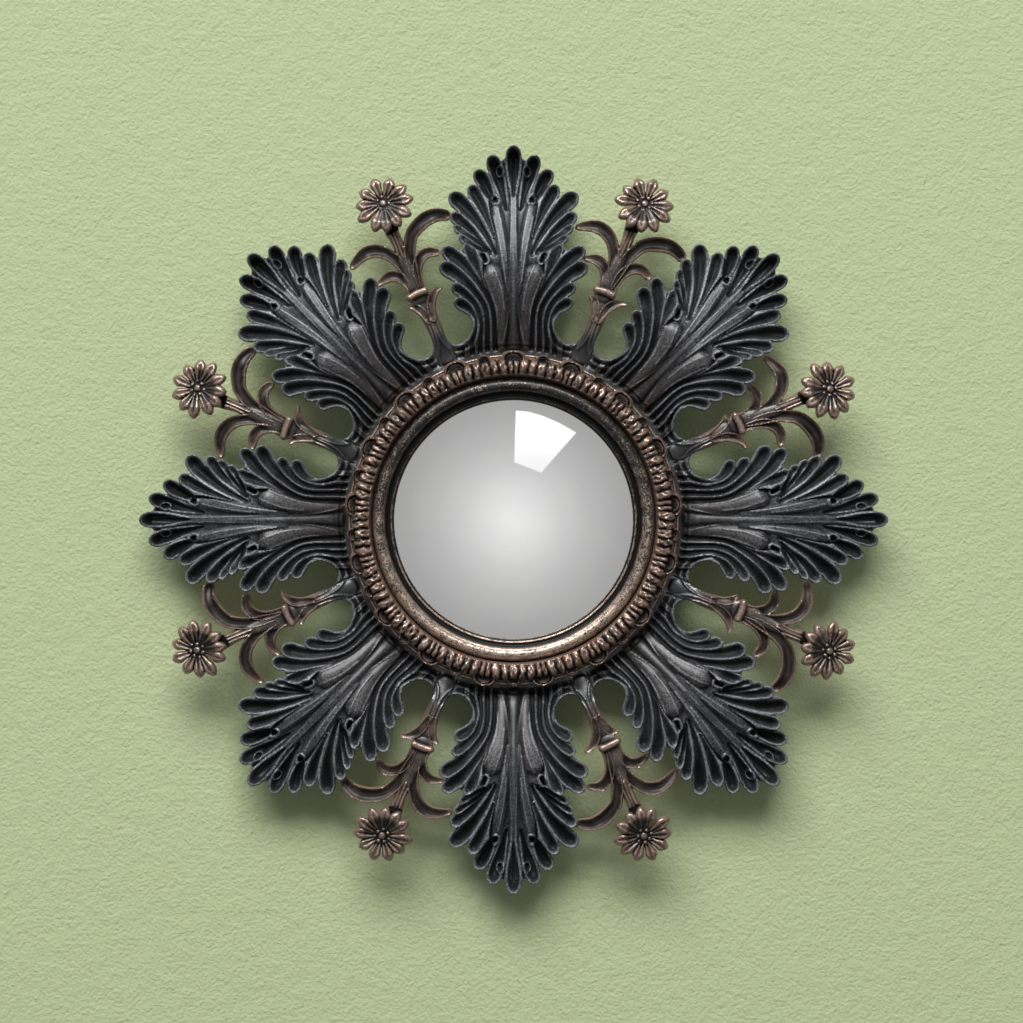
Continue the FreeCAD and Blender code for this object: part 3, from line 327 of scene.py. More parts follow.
class Leaf:
    def __init__(self):
        self.fingers = [Stroke(mirror=flip, **row) for row in FINGERS for flip in (False, True)]
        self.fingers.append(Stroke(**POINT_FINGER))
        self.pipes = [Stroke(mirror=flip, **row) for row in PIPES for flip in (False, True)]
        self.pipes.append(Stroke(**MIDRIB))
        self.eyes = [Stroke(mirror=flip, **row) for row in EYES for flip in (False, True)]
        self.lines = [(lift, Stroke(rows, mirror=flip)) for lift, rows in RIB_LINES for flip in (False, True)]

    def hole_gap(self, u, v):
        """Distance outside the pierced hole beside the leaf's foot."""
        cu, cv, a, b = HOLE
        s = np.hypot((np.abs(u) - cu) / a, (v - cv) / b)
        return (s - 1) * 0.5 * (a + b)

    def foot(self, u, v):
        """Positive inside the foot, between the two neighbouring sprigs."""
        lean = math.radians(STEP / 2)
        beside = np.abs(u) * math.cos(lean) - v * math.sin(lean)
        past = v * math.cos(lean) + np.abs(u) * math.sin(lean)
        radius = np.hypot(u, v)
        return np.minimum.reduce([-beside - LEAF_CLEARANCE, radius - FOOT_END, FOOT_LENGTH - past,
                                  self.hole_gap(u, v)])

    def inside(self, u, v):
        best = np.full(u.shape, OUTSIDE)
        for stroke in self.fingers + self.pipes[:-1]:
            s, _, _, w = stroke.measure(u, v)
            best = np.maximum(best, np.where(s < Stroke.FAR, (1 - s) * w, OUTSIDE))
        foot = self.foot(u, v)
        in_foot = v < 66
        core = np.where((v < CORE[-1][0]) & ~in_foot, core_width(v) - np.abs(u), OUTSIDE)
        best = np.maximum(best, np.maximum(core, foot))
        best = np.where(in_foot, np.minimum(best, foot), best)
        radius = np.hypot(u, v)
        return np.minimum(best, np.minimum(radius - FOOT_END, REACH - radius))

    def base(self, u, v):
        """Depth of the leaf's face before it is carved."""
        radius = np.hypot(u, v)
        along = np.where(v < 80, v + (radius - v) * smoothstep(80, 66, v), v)
        ramp = smoothstep(64, 80, v)
        return face_depth(along) - ramp * 3.0 * (u / 27.5) ** 2

    def heights(self, u, v):
        edge = self.inside(u, v)
        base = self.base(u, v)
        shares, levels = [], []
        for stroke in self.fingers:
            s, side, left, w = stroke.measure(u, v)
            depth = 0.86 * w + 0.15
            slit = 0.10 + 0.90 * smoothstep(8.5, 2.0, left)
            profile = depth * ((np.minimum(s, 0.86) / 0.86) ** 2.2 - 0.62)
            profile -= slit * depth * 1.2 * np.clip((s - 0.86) / 0.5, 0, 1) ** 1.5
            curl = 1.5 * np.clip(1 - left / 7.5, 0, 1.2) ** 2
            lift = stroke.style["lift"] * smoothstep(30, 6, left)
            lift -= stroke.style.get("sink", 0.0) * smoothstep(3.5, 11.0, left)
            shares.append(s)
            twist = 0.10 * w * np.clip(side, -1, 1) * np.sign(stroke.line[-1, 0])
            levels.append(profile + curl + lift + twist)
        for stroke in self.pipes:
            s, _, _, w = stroke.measure(u, v)
            shares.append(s)
            levels.append(0.42 * w * (1.0 - np.minimum(s, 1.1) ** 2))
        shares.append(np.full(u.shape, 2.1))
        levels.append(np.full(u.shape, -0.7))
        shares, levels = np.array(shares), np.array(levels)
        least = shares.min(0)
        weight = np.exp(-(shares ** 2 - least ** 2) / 0.06)
        front = base + (weight * levels).sum(0) / weight.sum(0)
        for lift, line in self.lines:
            s, _, _, _ = line.measure(u, v)
            front += lift * bell(s, 0.36) * smoothstep(63, 68, v)
        for eye, reach in zip(self.eyes, (1.0, 1.0, 0.8, 0.8)):
            s, _, _, w = eye.measure(u, v)
            out = (s - 1) * w
            front += 0.8 * reach * bell(out - 0.75, 0.5)
            front -= 1.6 * smoothstep(0.35, -0.25, out)
        curl = np.hypot((np.abs(u) - 5.0) / 1.3, (v - 130.2) / 1.9)
        front += 0.9 * bell(curl - 1.0, 0.3) - 0.8 * bell(curl, 0.6)
        gap = self.hole_gap(u, v)
        low = smoothstep(78, 72, v) * smoothstep(10.5, 14, np.abs(u))
        front += low * (0.7 * bell(gap - 0.8, 0.55) - 0.5 * bell(gap - 2.0, 0.6) + 0.55 * bell(gap - 3.3, 0.6))
        radius = np.hypot(u, v)
        hidden = smoothstep(64.6, RING_EDGE, radius)
        front = front * (1 - hidden) + (MOULDING_SEAT - UNDER_RING) * hidden
        thick = 4.3 - 1.4 * smoothstep(66, 138, v)
        back = base - thick
        rise = smoothstep(65.3, 80, radius)
        back = np.where(radius < 80, SEAT + ABOVE_SEAT + (back - SEAT) * rise, back)
        back = np.minimum(back, front - 1.5)
        back = np.where(radius < 65.4, SEAT + ABOVE_SEAT, back)
        roll = np.clip(0.8 - edge, 0, 0.8)
        drop = 0.8 - np.sqrt(np.maximum(0.64 - roll ** 2, 0))
        drop = drop * (1 - hidden)
        return np.minimum(front - drop, FRONT_LIMIT), back + 0.6 * drop

    def rub(self, u, v):
        """Where the brown undercoat shows: along the big pipes."""
        total = np.zeros(u.shape)
        for stroke in self.pipes[:-1]:
            s, _, _, _ = stroke.measure(u, v)
            total = np.maximum(total, stroke.style["rub"] * smoothstep(1.3, 0.3, s))
        return total


def leaf_mesh():
    leaf = Leaf()
    spacing = 0.31
    us = np.arange(-30.5, 30.6, spacing)
    vs = np.arange(52.6, 140.6, spacing)
    points, faces = relief(us, vs, leaf.inside, leaf.heights)
    mesh = mesh_of("leaf", points, faces)
    carve_fields(mesh, 2.1)
    u, v = points[:, 0], points[:, 1]
    set_field(mesh, "rub", leaf.rub(u, v))
    # Painted sheen mask: where the leaf's greys are painted lighter, strongest over its middle and weak at the
    # root, tips and sides.
    set_field(mesh, "sheen", (0.2 + 0.8 * smoothstep(70, 92, v) * smoothstep(134, 112, v))
              * (0.4 + 0.6 * smoothstep(28, 13, np.abs(u))))
    return mesh


# Flower sprig. Rows are across, along and half width, from root to tip.

SICKLES = [
    dict(rows=[(.3, 94, 1.2), (.9, 99, 1.8), (1.6, 103.6, 2.1), (2.9, 108, 2.3), (5.5, 112.6, 2.6),
               (10, 115.3, 2.9), (14, 116.3, 2.9), (18, 115.9, 2.5), (22.3, 113.8, 1.9)], depth=17.6, fall=3.0),
    dict(rows=[(-.8, 94, 1.2), (-1.3, 98.6, 1.7), (-2.2, 102.6, 2.0), (-3.7, 106.4, 2.1), (-6, 110, 2.4),
               (-9.3, 112.3, 2.6), (-13, 112.9, 2.5), (-17, 111.7, 1.9), (-20.6, 109.8, 1.1)],
         depth=17.4, fall=2.6),
    dict(rows=[(1.6, 92.5, 1.4), (1.9, 97.5, 1.7), (3.3, 101.3, 2.0), (6, 103.8, 2.2), (9.2, 104.3, 2.0),
               (13, 102.4, 1.3)], depth=17.7, fall=1.6),
    dict(rows=[(-2.4, 92.5, 1.5), (-3.1, 96.5, 1.8), (-5, 99.9, 2.1), (-7.6, 101.4, 2.2), (-10.2, 101.2, 1.7),
               (-13.4, 100.1, .9)], depth=17.6, fall=1.5),
    dict(rows=[(1.0, 80.5, 1.2), (1.9, 84.8, 1.7), (3.6, 88.0, 1.8), (6.2, 89.9, 1.2), (8.8, 90.4, .5)],
         depth=17.9, fall=0.6),
    dict(rows=[(-1.0, 80.5, 1.2), (-2.0, 84.3, 1.6), (-3.5, 86.8, 1.5), (-6.0, 88.2, .7)],
         depth=17.8, fall=0.6),
]
# How far the sickles rise towards their roots.
ROOT_RISE = 0.5
STEMS = [
    dict(rows=[(0, 66, 3.1), (0, 70, 3.1), (.1, 73, 2.7), (.2, 77, 2.8), (.1, 81, 3.0), (-.2, 86, 3.6),
               (-.4, 90, 4.0)], depth=16.2, dome=1.3),
    dict(rows=[(-.9, 91, 4.0), (-.8, 96, 3.5), (-.6, 101, 2.8), (-.5, 106, 2.3), (-.5, 112, 2.2),
               (-.8, 117, 2.7), (-.5, 121, 3.2)], depth=16.7, dome=1.3),
]
STEM_LINES = [[(3.7, 70.6, 1), (2.7, 72.6, 1), (1.9, 76, 1), (1.7, 82, 1)],
              [(-3.7, 70.3, 1), (-2.7, 72.6, 1), (-1.8, 76, 1), (-1.7, 82, 1)],
              [(3.7, 66.6, 1), (1.9, 69, 1), (.7, 73, 1), (.4, 82, 1)],
              [(-3.7, 66.2, 1), (-1.9, 69, 1), (-.6, 73, 1), (-.3, 82, 1)],
              [(-.6, 106, 1), (-.5, 112, 1), (-.5, 117, 1)],
              [(-2.0, 108, 1), (-1.8, 112, 1), (-1.9, 117, 1)],
              [(.9, 109, 1), (.8, 112, 1), (.8, 117, 1)]]
COLLAR = dict(rows=[(-4.2, 91.1, 1.35), (-.5, 91.5, 1.6), (3.5, 91.3, 1.35)], cap=0.8)
FLOWER = (0.2, 127.4)
# Each petal's direction, clockwise from the top, and its length.
PETALS = [(0, 10.3), (39, 10.0), (74, 10.9), (103, 11.5), (136, 11.6), (166, 11.2), (194, 11.2), (219, 11.4),
          (256, 11.6), (286, 10.4), (321, 10.2)]
# The petals at the foot of the flower have shallower grooves.
SHALLOW_PETALS = (4, 5, 6, 7)
# Each stamen's direction, distance from the flower's middle and radius.
STAMENS = [(12, 2.3, .8), (68, 2.7, .6), (115, 2.2, .75), (170, 2.6, .65), (222, 2.4, .8), (270, 2.8, .6),
           (318, 2.2, .7)]


def dome(s):
    """Height of a half round at a share of its half width."""
    return np.sqrt(np.clip(1 - np.minimum(s, 1) ** 2, 0, 1))


class Sprig:
    def __init__(self):
        self.sickles = [Stroke(**row) for row in SICKLES]
        self.stems = [Stroke(**row) for row in STEMS]
        self.lines = [Stroke(row) for row in STEM_LINES]
        self.collar = Stroke(**COLLAR)
        self.petals = []
        for turn, length in PETALS:
            a = math.radians(turn)
            rows = [(FLOWER[0] + r * math.sin(a), FLOWER[1] + r * math.cos(a), w)
                    for r, w in ((1.0, .4), (3.2, 1.0), (5.6, 1.7), (7.8, 2.3), (length, 1.8))]
            self.petals.append(Stroke(rows, cap=1.7))

    def parts(self, u, v):
        """Edge distance, front and back of every part at each point."""
        found = []
        for stroke in self.sickles:
            s, _, left, w = stroke.measure(u, v)
            fall = stroke.style["fall"] * smoothstep(9.0, 0.0, left) - ROOT_RISE * smoothstep(9, 17, left)
            top = stroke.style["depth"] - fall
            front = top + 0.62 * w * (np.minimum(s, 0.84) / 0.84) ** 2.6 - 0.52 * w
            front -= 1.3 * np.clip((s - 0.85) / 0.15, 0, 1) ** 2
            found.append(((1 - s) * w, s, front, top - 3.6 + 0.8 * s ** 2))
        for stroke in self.stems:
            s, _, _, w = stroke.measure(u, v)
            rise = smoothstep(64, 76, v)
            top = MOULDING_SEAT + (stroke.style["depth"] - MOULDING_SEAT) * rise
            front = top + stroke.style["dome"] * dome(s)
            found.append(((1 - s) * w, s, front, top - 2.4))
        s, _, _, w = self.collar.measure(u, v)
        found.append(((1 - s) * w, s, 17.6 + 1.7 * dome(s), np.full(u.shape, 14.4)))
        r = np.hypot(u - FLOWER[0], v - FLOWER[1])
        plane = 19.2 - 0.33 * (v - FLOWER[1]) + 0.10 * np.minimum(r, 7.5) - 0.16 * np.clip(r - 7.5, 0, None)
        for number, stroke in enumerate(self.petals):
            s, side, _, w = stroke.measure(u, v)
            front = plane + 0.80 * w * dome(s)
            deep = 0.45 if number in SHALLOW_PETALS else 0.75
            front -= deep * bell(s * np.sign(side) + 0.12, 0.36) * smoothstep(1.5, 3.5, r)
            found.append(((1 - s) * w, s, front, plane - 2.6))
        cup = np.clip(4.6 - r, None, 4.6)
        found.append((cup, 1 - cup / 4.6, plane - 0.3, plane - 5.0 + 0.4 * r))
        found.append((1.55 - r, r / 1.55, plane + 0.1 + 1.3 * dome(r / 1.55), plane - 3.0))
        for turn, out, size in STAMENS:
            a = math.radians(turn)
            q = np.hypot(u - FLOWER[0] - out * math.sin(a), v - FLOWER[1] - out * math.cos(a)) / size
            found.append(((1 - q) * size, q, plane + 0.2 + 1.2 * size * dome(q), plane - 2.6))
        return found

    def foot(self, u, v):
        radius = np.hypot(u, v)
        return np.minimum.reduce([SPRIG_FOOT_HALF - np.abs(u), radius - FOOT_END, FOOT_LENGTH - v])

    def inside(self, u, v):
        best = np.maximum.reduce([part[0] for part in self.parts(u, v)])
        best = np.where(v < 66.2, OUTSIDE, best)
        best = np.maximum(best, self.foot(u, v))
        return np.minimum(best, REACH - np.hypot(u, v))

    def heights(self, u, v):
        found = self.parts(u, v)
        radius = np.hypot(u, v)
        edges, shares, fronts, backs = (np.array([part[k] for part in found]) for k in range(4))
        nearest = np.arange(len(found))[:, None] == edges.argmax(0)
        within = (shares < 1.02) | nearest
        front, back = np.where(within, fronts, -9.0).max(0), np.where(within, backs, 99.0).min(0)
        foot = self.foot(u, v) > -0.05
        foot_front = MOULDING_SEAT - UNDER_RING + 2.2 * smoothstep(RING_EDGE, 70, radius)
        front = np.where(foot, np.maximum(front, foot_front), front)
        rise = smoothstep(65.3, 74, radius)
        back = np.where(foot | (v < 74), SEAT + ABOVE_SEAT + (np.minimum(back, 13.8) - SEAT) * rise, back)
        for line in self.lines:
            s, _, _, _ = line.measure(u, v)
            front += 0.5 * bell(s, 0.42) * smoothstep(63, 68, v)
        hidden = smoothstep(64.0, RING_EDGE, radius)
        front = front * (1 - hidden) + (MOULDING_SEAT - UNDER_RING) * hidden
        edge = self.inside(u, v)
        roll = np.clip(0.6 - edge, 0, 0.6)
        drop = (0.6 - np.sqrt(np.maximum(0.36 - roll ** 2, 0))) * (1 - hidden)
        front = np.minimum(front - drop, FRONT_LIMIT)
        return front, np.minimum(back + 0.7 * drop, front - 0.8)


def sprig_mesh():
    sprig = Sprig()
    spacing = 0.26
    us = np.arange(-24.0, 24.6, spacing)
    vs = np.arange(55.8, 140.4, spacing)
    points, faces = relief(us, vs, sprig.inside, sprig.heights)
    mesh = mesh_of("sprig", points, faces)
    carve_fields(mesh, 2.4)
    set_field(mesh, "foot", smoothstep(84.0, 71.0, points[:, 1]))
    return mesh


# Carved ring, bezel and glass. All are drawn round the mirror's axis.

SCALLOPS = 17
PERIOD = 360.0 / SCALLOPS


def torus_mesh(name, rows, n, sharp=60.0):
    """A ring from rows of radius and depth, each a number or n numbers clockwise round the circle."""
    angle = np.linspace(0, 2 * math.pi, n, endpoint=False)
    points = [np.column_stack([r * np.sin(angle), r * np.cos(angle), d * np.ones_like(angle)])
              for r, d in rows]
    count = len(rows)
    j, i = np.meshgrid(np.arange(count), np.arange(n), indexing="ij")
    j2, i2 = (j + 1) % count, (i + 1) % n
    faces = np.stack([j * n + i, j2 * n + i, j2 * n + i2, j * n + i2], -1).reshape(-1, 4)
    return mesh_of(name, np.vstack(points), faces.tolist(), sharp=sharp)


# Each gadroon's place round the ring, half width, lift and lean.
GADROONS = [(1.0, 1.05, 1.5, 0.04), (3.9, 1.75, 1.7, 0.12), (7.3, 1.65, 1.5, 0.10), (10.0, 1.25, 1.7, 0.02)]
# Hand-carved unevenness: waves round the ring, their slant, phase and height.
ROUGHNESS = [(int(rng.integers(60, 260)), rng.uniform(-2.2, 2.2), rng.uniform(0, 6.28), 0.075)
             for _ in range(14)]


def along_repeat(angle, radius):
    """Distances along the circle from the middle and from the ends of the nearest repeat."""
    share = (angle / PERIOD + 0.5) % 1.0 - 0.5
    arc = np.abs(share * PERIOD * math.pi / 180 * radius)
    return arc, PERIOD * math.pi / 180 * radius / 2 - arc


def moulding_front(angle, r):
    """Depth of the ring's carved front at an angle in degrees and a radius in mm."""
    from_middle, from_end = along_repeat(angle, 57.0)
    x = np.clip((r - 56.9) / 3.7, -1, 1)
    torus = 17.9 + 3.4 * np.sqrt(1 - x * x)
    slope = 15.2 + 2.6 * smoothstep(62.2, 59.6, r)
    height = np.maximum(torus, np.where(r > 56.9, slope, 0.0))
    band = smoothstep(53.9, 54.6, r) * smoothstep(60.6, 59.4, r)
    height -= 0.7 * band
    for place, width, lift, lean in GADROONS:
        across = from_middle - place - lean * (r - 57.0)
        s = np.sqrt((across / width) ** 2 + (np.abs(r - 56.7) / 3.4) ** 2.6)
        height = np.maximum(height, torus - 0.7 * band + lift * np.sqrt(np.clip(1 - s * s, 0, 1)))
    # Hollow shells with a raised edge, a large and a small one by turns.
    for across, wide, deep in ((from_middle, 4.1, 3.0), (from_end, 2.3, 2.2)):
        arch = np.hypot(across / wide, (r - 59.9) / deep)
        outside = smoothstep(58.6, 59.9, r)
        bowl = 18.9 + 0.9 * arch ** 2
        sunk = height + (bowl - height) * outside * smoothstep(0.75, 0.6, arch)
        height = np.where(arch < 0.75, sunk, height)
        height = np.maximum(height, (17.4 + 3.1 * bell(arch - 0.86, 0.15)) * outside)
    turn = np.radians(angle)
    rough = sum(size * np.sin(k * turn + a + m * r) for k, m, a, size in ROUGHNESS)
    return height + rough * band


def moulding_mesh():
    n = SCALLOPS * 66
    angle = np.arange(n) * 360.0 / n
    from_middle, from_end = along_repeat(angle, 60.0)
    outer = 61.7 + 1.5 * dome(from_middle / 4.15) + 0.9 * dome(from_end / 1.3)
    inner = 52.85
    rows = [(np.full(n, inner), MOULDING_SEAT), (np.full(n, inner), 16.0), (np.full(n, inner), 17.0)]
    count = 36
    for share in np.linspace(0, 1, count):
        r = inner + (outer - inner) * share
        roll = np.clip(0.45 - (outer - r), 0, 0.45)
        lip = np.clip(0.5 - (r - inner), 0, 0.5)
        rounding = 2.6 * (0.45 - np.sqrt(0.45 ** 2 - roll ** 2))
        rounding_at_bead = 0.5 - np.sqrt(0.25 - lip ** 2)
        groove_at_bead = 1.1 * smoothstep(53.9, 53.1, r)
        front = moulding_front(angle, r) - rounding - rounding_at_bead - groove_at_bead
        rows.append((r, np.minimum(front, 23.0)))
    rows += [(outer - 0.15, 14.2), (outer - 0.6, MOULDING_SEAT)]
    mesh = torus_mesh("moulding", rows, n)
    mesh.flip_normals()
    carve_fields(mesh, 2.7, 8, 45)
    return mesh


def bezel_mesh():
    n = 720
    angle = np.arange(n) * 2 * math.pi / n
    waves = 0.035 * sum(rng.normal(0, 1) * np.sin(k * angle + rng.uniform(0, 6.28)) / k
                        for k in range(3, 40))
    rows = [(47.1, 9.02), (55.2, 9.02), (55.2, 12.95), (52.5, 12.95), (52.5, 15.0), (52.5, 16.6)]
    for t in np.linspace(0, 1, 26):
        a = math.pi * t
        rows.append((50.25 + 2.25 * math.cos(a) * (1 - 0.08 * math.sin(a)), 17.3 + 2.4 * math.sin(a)))
    rows += [(47.9, 16.9), (47.7, 16.55), (47.4, 16.25), (47.1, 16.05), (46.8, 15.93), (46.5, 15.9),
             (46.3, 16.0), (46.1, 16.1), (45.9, 16.08), (45.7, 15.95), (45.5, 15.7), (45.42, 15.4),
             (45.4, 15.0), (45.4, 14.32), (47.1, 14.32)]
    rings = [(r + waves * (d > 14.6) * (r < 52.4), d + 0.6 * waves * (d > 16.4)) for r, d in rows]
    mesh = torus_mesh("bezel", rings, n, sharp=70.0)
    mesh.flip_normals()
    carve_fields(mesh, 1.5, 8, 45)
    on_bead = [max(smoothstep(47.6, 48.4, r), smoothstep(46.0, 45.8, r) * (d > 15.0)) for r, d in rows]
    set_field(mesh, "bead", np.repeat(on_bead, n))
    # Mask of the hollow between bead and glass, where shade is painted near black.
    set_field(mesh, "painted_shade_cove", np.repeat([float(45.9 < r < 48.0 and d < 17.35) for r, d in rows], n))
    return mesh


GLASS_CURVE = 175.0
GLASS_EDGE = 46.8
GLASS_THICKNESS = 3
GROUND_EDGE = 0.25
# The glass's face passes this depth at the radius of the bezel's opening.
GLASS_AT_LIP = 14.3 - 0.3
SIGHT_RADIUS = 45.4
GLASS_CENTRE = GLASS_AT_LIP - math.sqrt(GLASS_CURVE ** 2 - SIGHT_RADIUS ** 2)


def glass_mesh():
    """The convex glass: front and back caps, joined at its ground edge."""
    n, rings = 256, 48
    points, faces = [(0, 0, GLASS_CENTRE + GLASS_CURVE)], []
    angle = np.arange(n) * 2 * math.pi / n
    radii = np.append(np.linspace(0, GLASS_EDGE - GROUND_EDGE, rings + 1)[1:], GLASS_EDGE)
    for r in radii:
        d = GLASS_CENTRE + math.sqrt(GLASS_CURVE ** 2 - r * r) - (GROUND_EDGE if r == GLASS_EDGE else 0)
        points += [(r * math.sin(a), r * math.cos(a), d) for a in angle]
    for r in radii[::-1]:
        d = GLASS_CENTRE + math.sqrt((GLASS_CURVE - GLASS_THICKNESS) ** 2 - r * r)
        points += [(r * math.sin(a), r * math.cos(a), d) for a in angle]
    points.append((0, 0, GLASS_CENTRE + GLASS_CURVE - GLASS_THICKNESS))
    last = len(points) - 1
    for k in range(2 * len(radii) - 1):
        a0, b0 = 1 + k * n, 1 + (k + 1) * n
        faces += [(a0 + i, b0 + i, b0 + (i + 1) % n, a0 + (i + 1) % n) for i in range(n)]
    faces += [(0, 1 + i, 1 + (i + 1) % n) for i in range(n)]
    end = 1 + (2 * len(radii) - 1) * n
    faces += [(last, end + (i + 1) % n, end + i) for i in range(n)]
    mesh = mesh_of("glass", np.array(points, float), faces, sharp=40.0)
    mesh.flip_normals()
    return mesh


# Materials.

class Shader:
    """A few words for writing a node material."""

    def __init__(self, name):
        self.material = bpy.data.materials.new(name)
        self.material.use_nodes = True
        self.tree = self.material.node_tree
        self.surface = self.tree.nodes["Principled BSDF"]
        self.place = self.node("ShaderNodeTexCoord").outputs["Object"]

    def node(self, kind, inputs=(), **settings):
        made = self.tree.nodes.new(kind)
        for key, value in settings.items():
            setattr(made, key, value)
        for key, value in dict(inputs).items():
            self.put(made.inputs[key], value)
        return made

    def put(self, socket, value):
        if isinstance(value, bpy.types.NodeSocket):
            self.tree.links.new(value, socket)
        else:
            socket.default_value = value

    def set(self, **inputs):
        for key, value in inputs.items():
            self.put(self.surface.inputs[key.replace("_", " ")], value)

    def field(self, name):
        return self.node("ShaderNodeAttribute", attribute_name=name).outputs["Fac"]

    def math(self, operation, a, b):
        made = self.node("ShaderNodeMath", operation=operation)
        for socket, value in zip(made.inputs, (a, b)):
            self.put(socket, value)
        return made.outputs[0]

    def times(self, a, b):
        return self.math("MULTIPLY", a, b)

    def spread(self, value, pattern, amount):
        """A value made uneven by a pattern, by half the amount either way."""
        return self.math("ADD", value, self.times(self.math("SUBTRACT", pattern, 0.5), amount))

    def ramp(self, value, low, high, to_low=0.0, to_high=1.0):
        made = self.node("ShaderNodeMapRange", interpolation_type="SMOOTHSTEP")
        for key, number in (("Value", value), ("From Min", low), ("From Max", high),
                            ("To Min", to_low), ("To Max", to_high)):
            self.put(made.inputs[key], number)
        return made.outputs["Result"]

    def noise(self, size_mm, detail=3.0, rough=0.6, stretch=None):
        """Noise with features of about that size."""
        vector = self.place
        if stretch:
            vector = self.node("ShaderNodeMapping", {"Vector": vector, "Scale": stretch}).outputs[0]
        made = self.node("ShaderNodeTexNoise", {"Vector": vector, "Scale": 1000.0 / size_mm,
                                                "Detail": detail, "Roughness": rough})
        return made.outputs["Fac"]

    def mix(self, share, a, b):
        made = self.node("ShaderNodeMix", data_type="RGBA")
        self.put(made.inputs["Factor"], share)
        for key, colour in (("A", a), ("B", b)):
            socket = [s for s in made.inputs if s.name == key and s.type == "RGBA"][0]
            self.put(socket, colour if isinstance(colour, bpy.types.NodeSocket) else (*colour, 1.0))
        return [s for s in made.outputs if s.type == "RGBA"][0]

    def bump(self, height, distance_mm, strength=1.0, under=None):
        made = self.node("ShaderNodeBump", {"Height": height, "Distance": distance_mm * 0.001,
                                            "Strength": strength})
        if under is not None:
            self.put(made.inputs["Normal"], under)
        return made.outputs["Normal"]


def charcoal_resin():
    """The leaves: black, rubbed brown on the pipes, powdered grey and dry-brush grey, with painted sheen: both
    greys are painted lighter over the middle of each leaf.
    """
    s = Shader("charcoal_resin")
    cloud = s.noise(14.0, 4.0)
    patch = s.noise(5.0, 3.0, 0.6)
    grain = s.noise(0.8, 3.0, 0.7)
    fine = s.noise(0.3, 2.0, 0.7)
    crest = s.field("crest")
    swell = s.field("swell")
    colour = s.mix(s.ramp(cloud, 0.35, 0.65), (0.0052, 0.0053, 0.0057), (0.0095, 0.0098, 0.0107))
    rub = s.times(s.field("rub"), s.ramp(grain, 0.38, 0.62, 0.15, 1.0))
    colour = s.mix(s.times(rub, 0.7), colour, (0.030, 0.0165, 0.0105))
    # Painted sheen mask: the greys below are laid on lighter over the middle of the leaf and fainter at its
    # root, tips and sides.
    sheen = s.field("sheen")
    speck = s.noise(0.6, 3.0, 0.8)
    # Grey on the broad swells: partly real powder, partly a painted sheen of light on the rounded forms.
    powder_and_painted_sheen = s.times(s.ramp(s.spread(swell, patch, 1.6), -0.9, 0.8), s.ramp(speck, 0.44, 0.60))
    powder_and_painted_sheen = s.times(powder_and_painted_sheen, sheen)
    colour = s.mix(s.times(powder_and_painted_sheen, 0.7), colour, (0.165, 0.172, 0.189))
    # Grey dry brush on the fine edges, dimmed towards the tips and root by the painted sheen mask.
    dry_brush_and_painted_sheen = s.times(s.ramp(s.spread(crest, patch, 0.25), 0.06, 0.26), s.ramp(speck, 0.36, 0.58))
    dry_brush_and_painted_sheen = s.times(dry_brush_and_painted_sheen, s.ramp(sheen, 0.0, 1.0, 0.45, 0.85))
    colour = s.mix(dry_brush_and_painted_sheen, colour, (0.265, 0.275, 0.300))
    bump = s.bump(grain, 0.07, 0.6)
    bump = s.bump(fine, 0.06, 0.5, bump)
    proud = s.times(s.ramp(crest, -0.25, 0.15), s.ramp(grain, 0.3, 0.6, 0.6, 1.0))
    s.set(Base_Color=colour, Roughness=s.ramp(grain, 0.3, 0.7, 0.32, 0.50), Normal=bump,
          Specular_IOR_Level=s.ramp(proud, 0.0, 1.0, 0.08, 0.80))
    return s.material


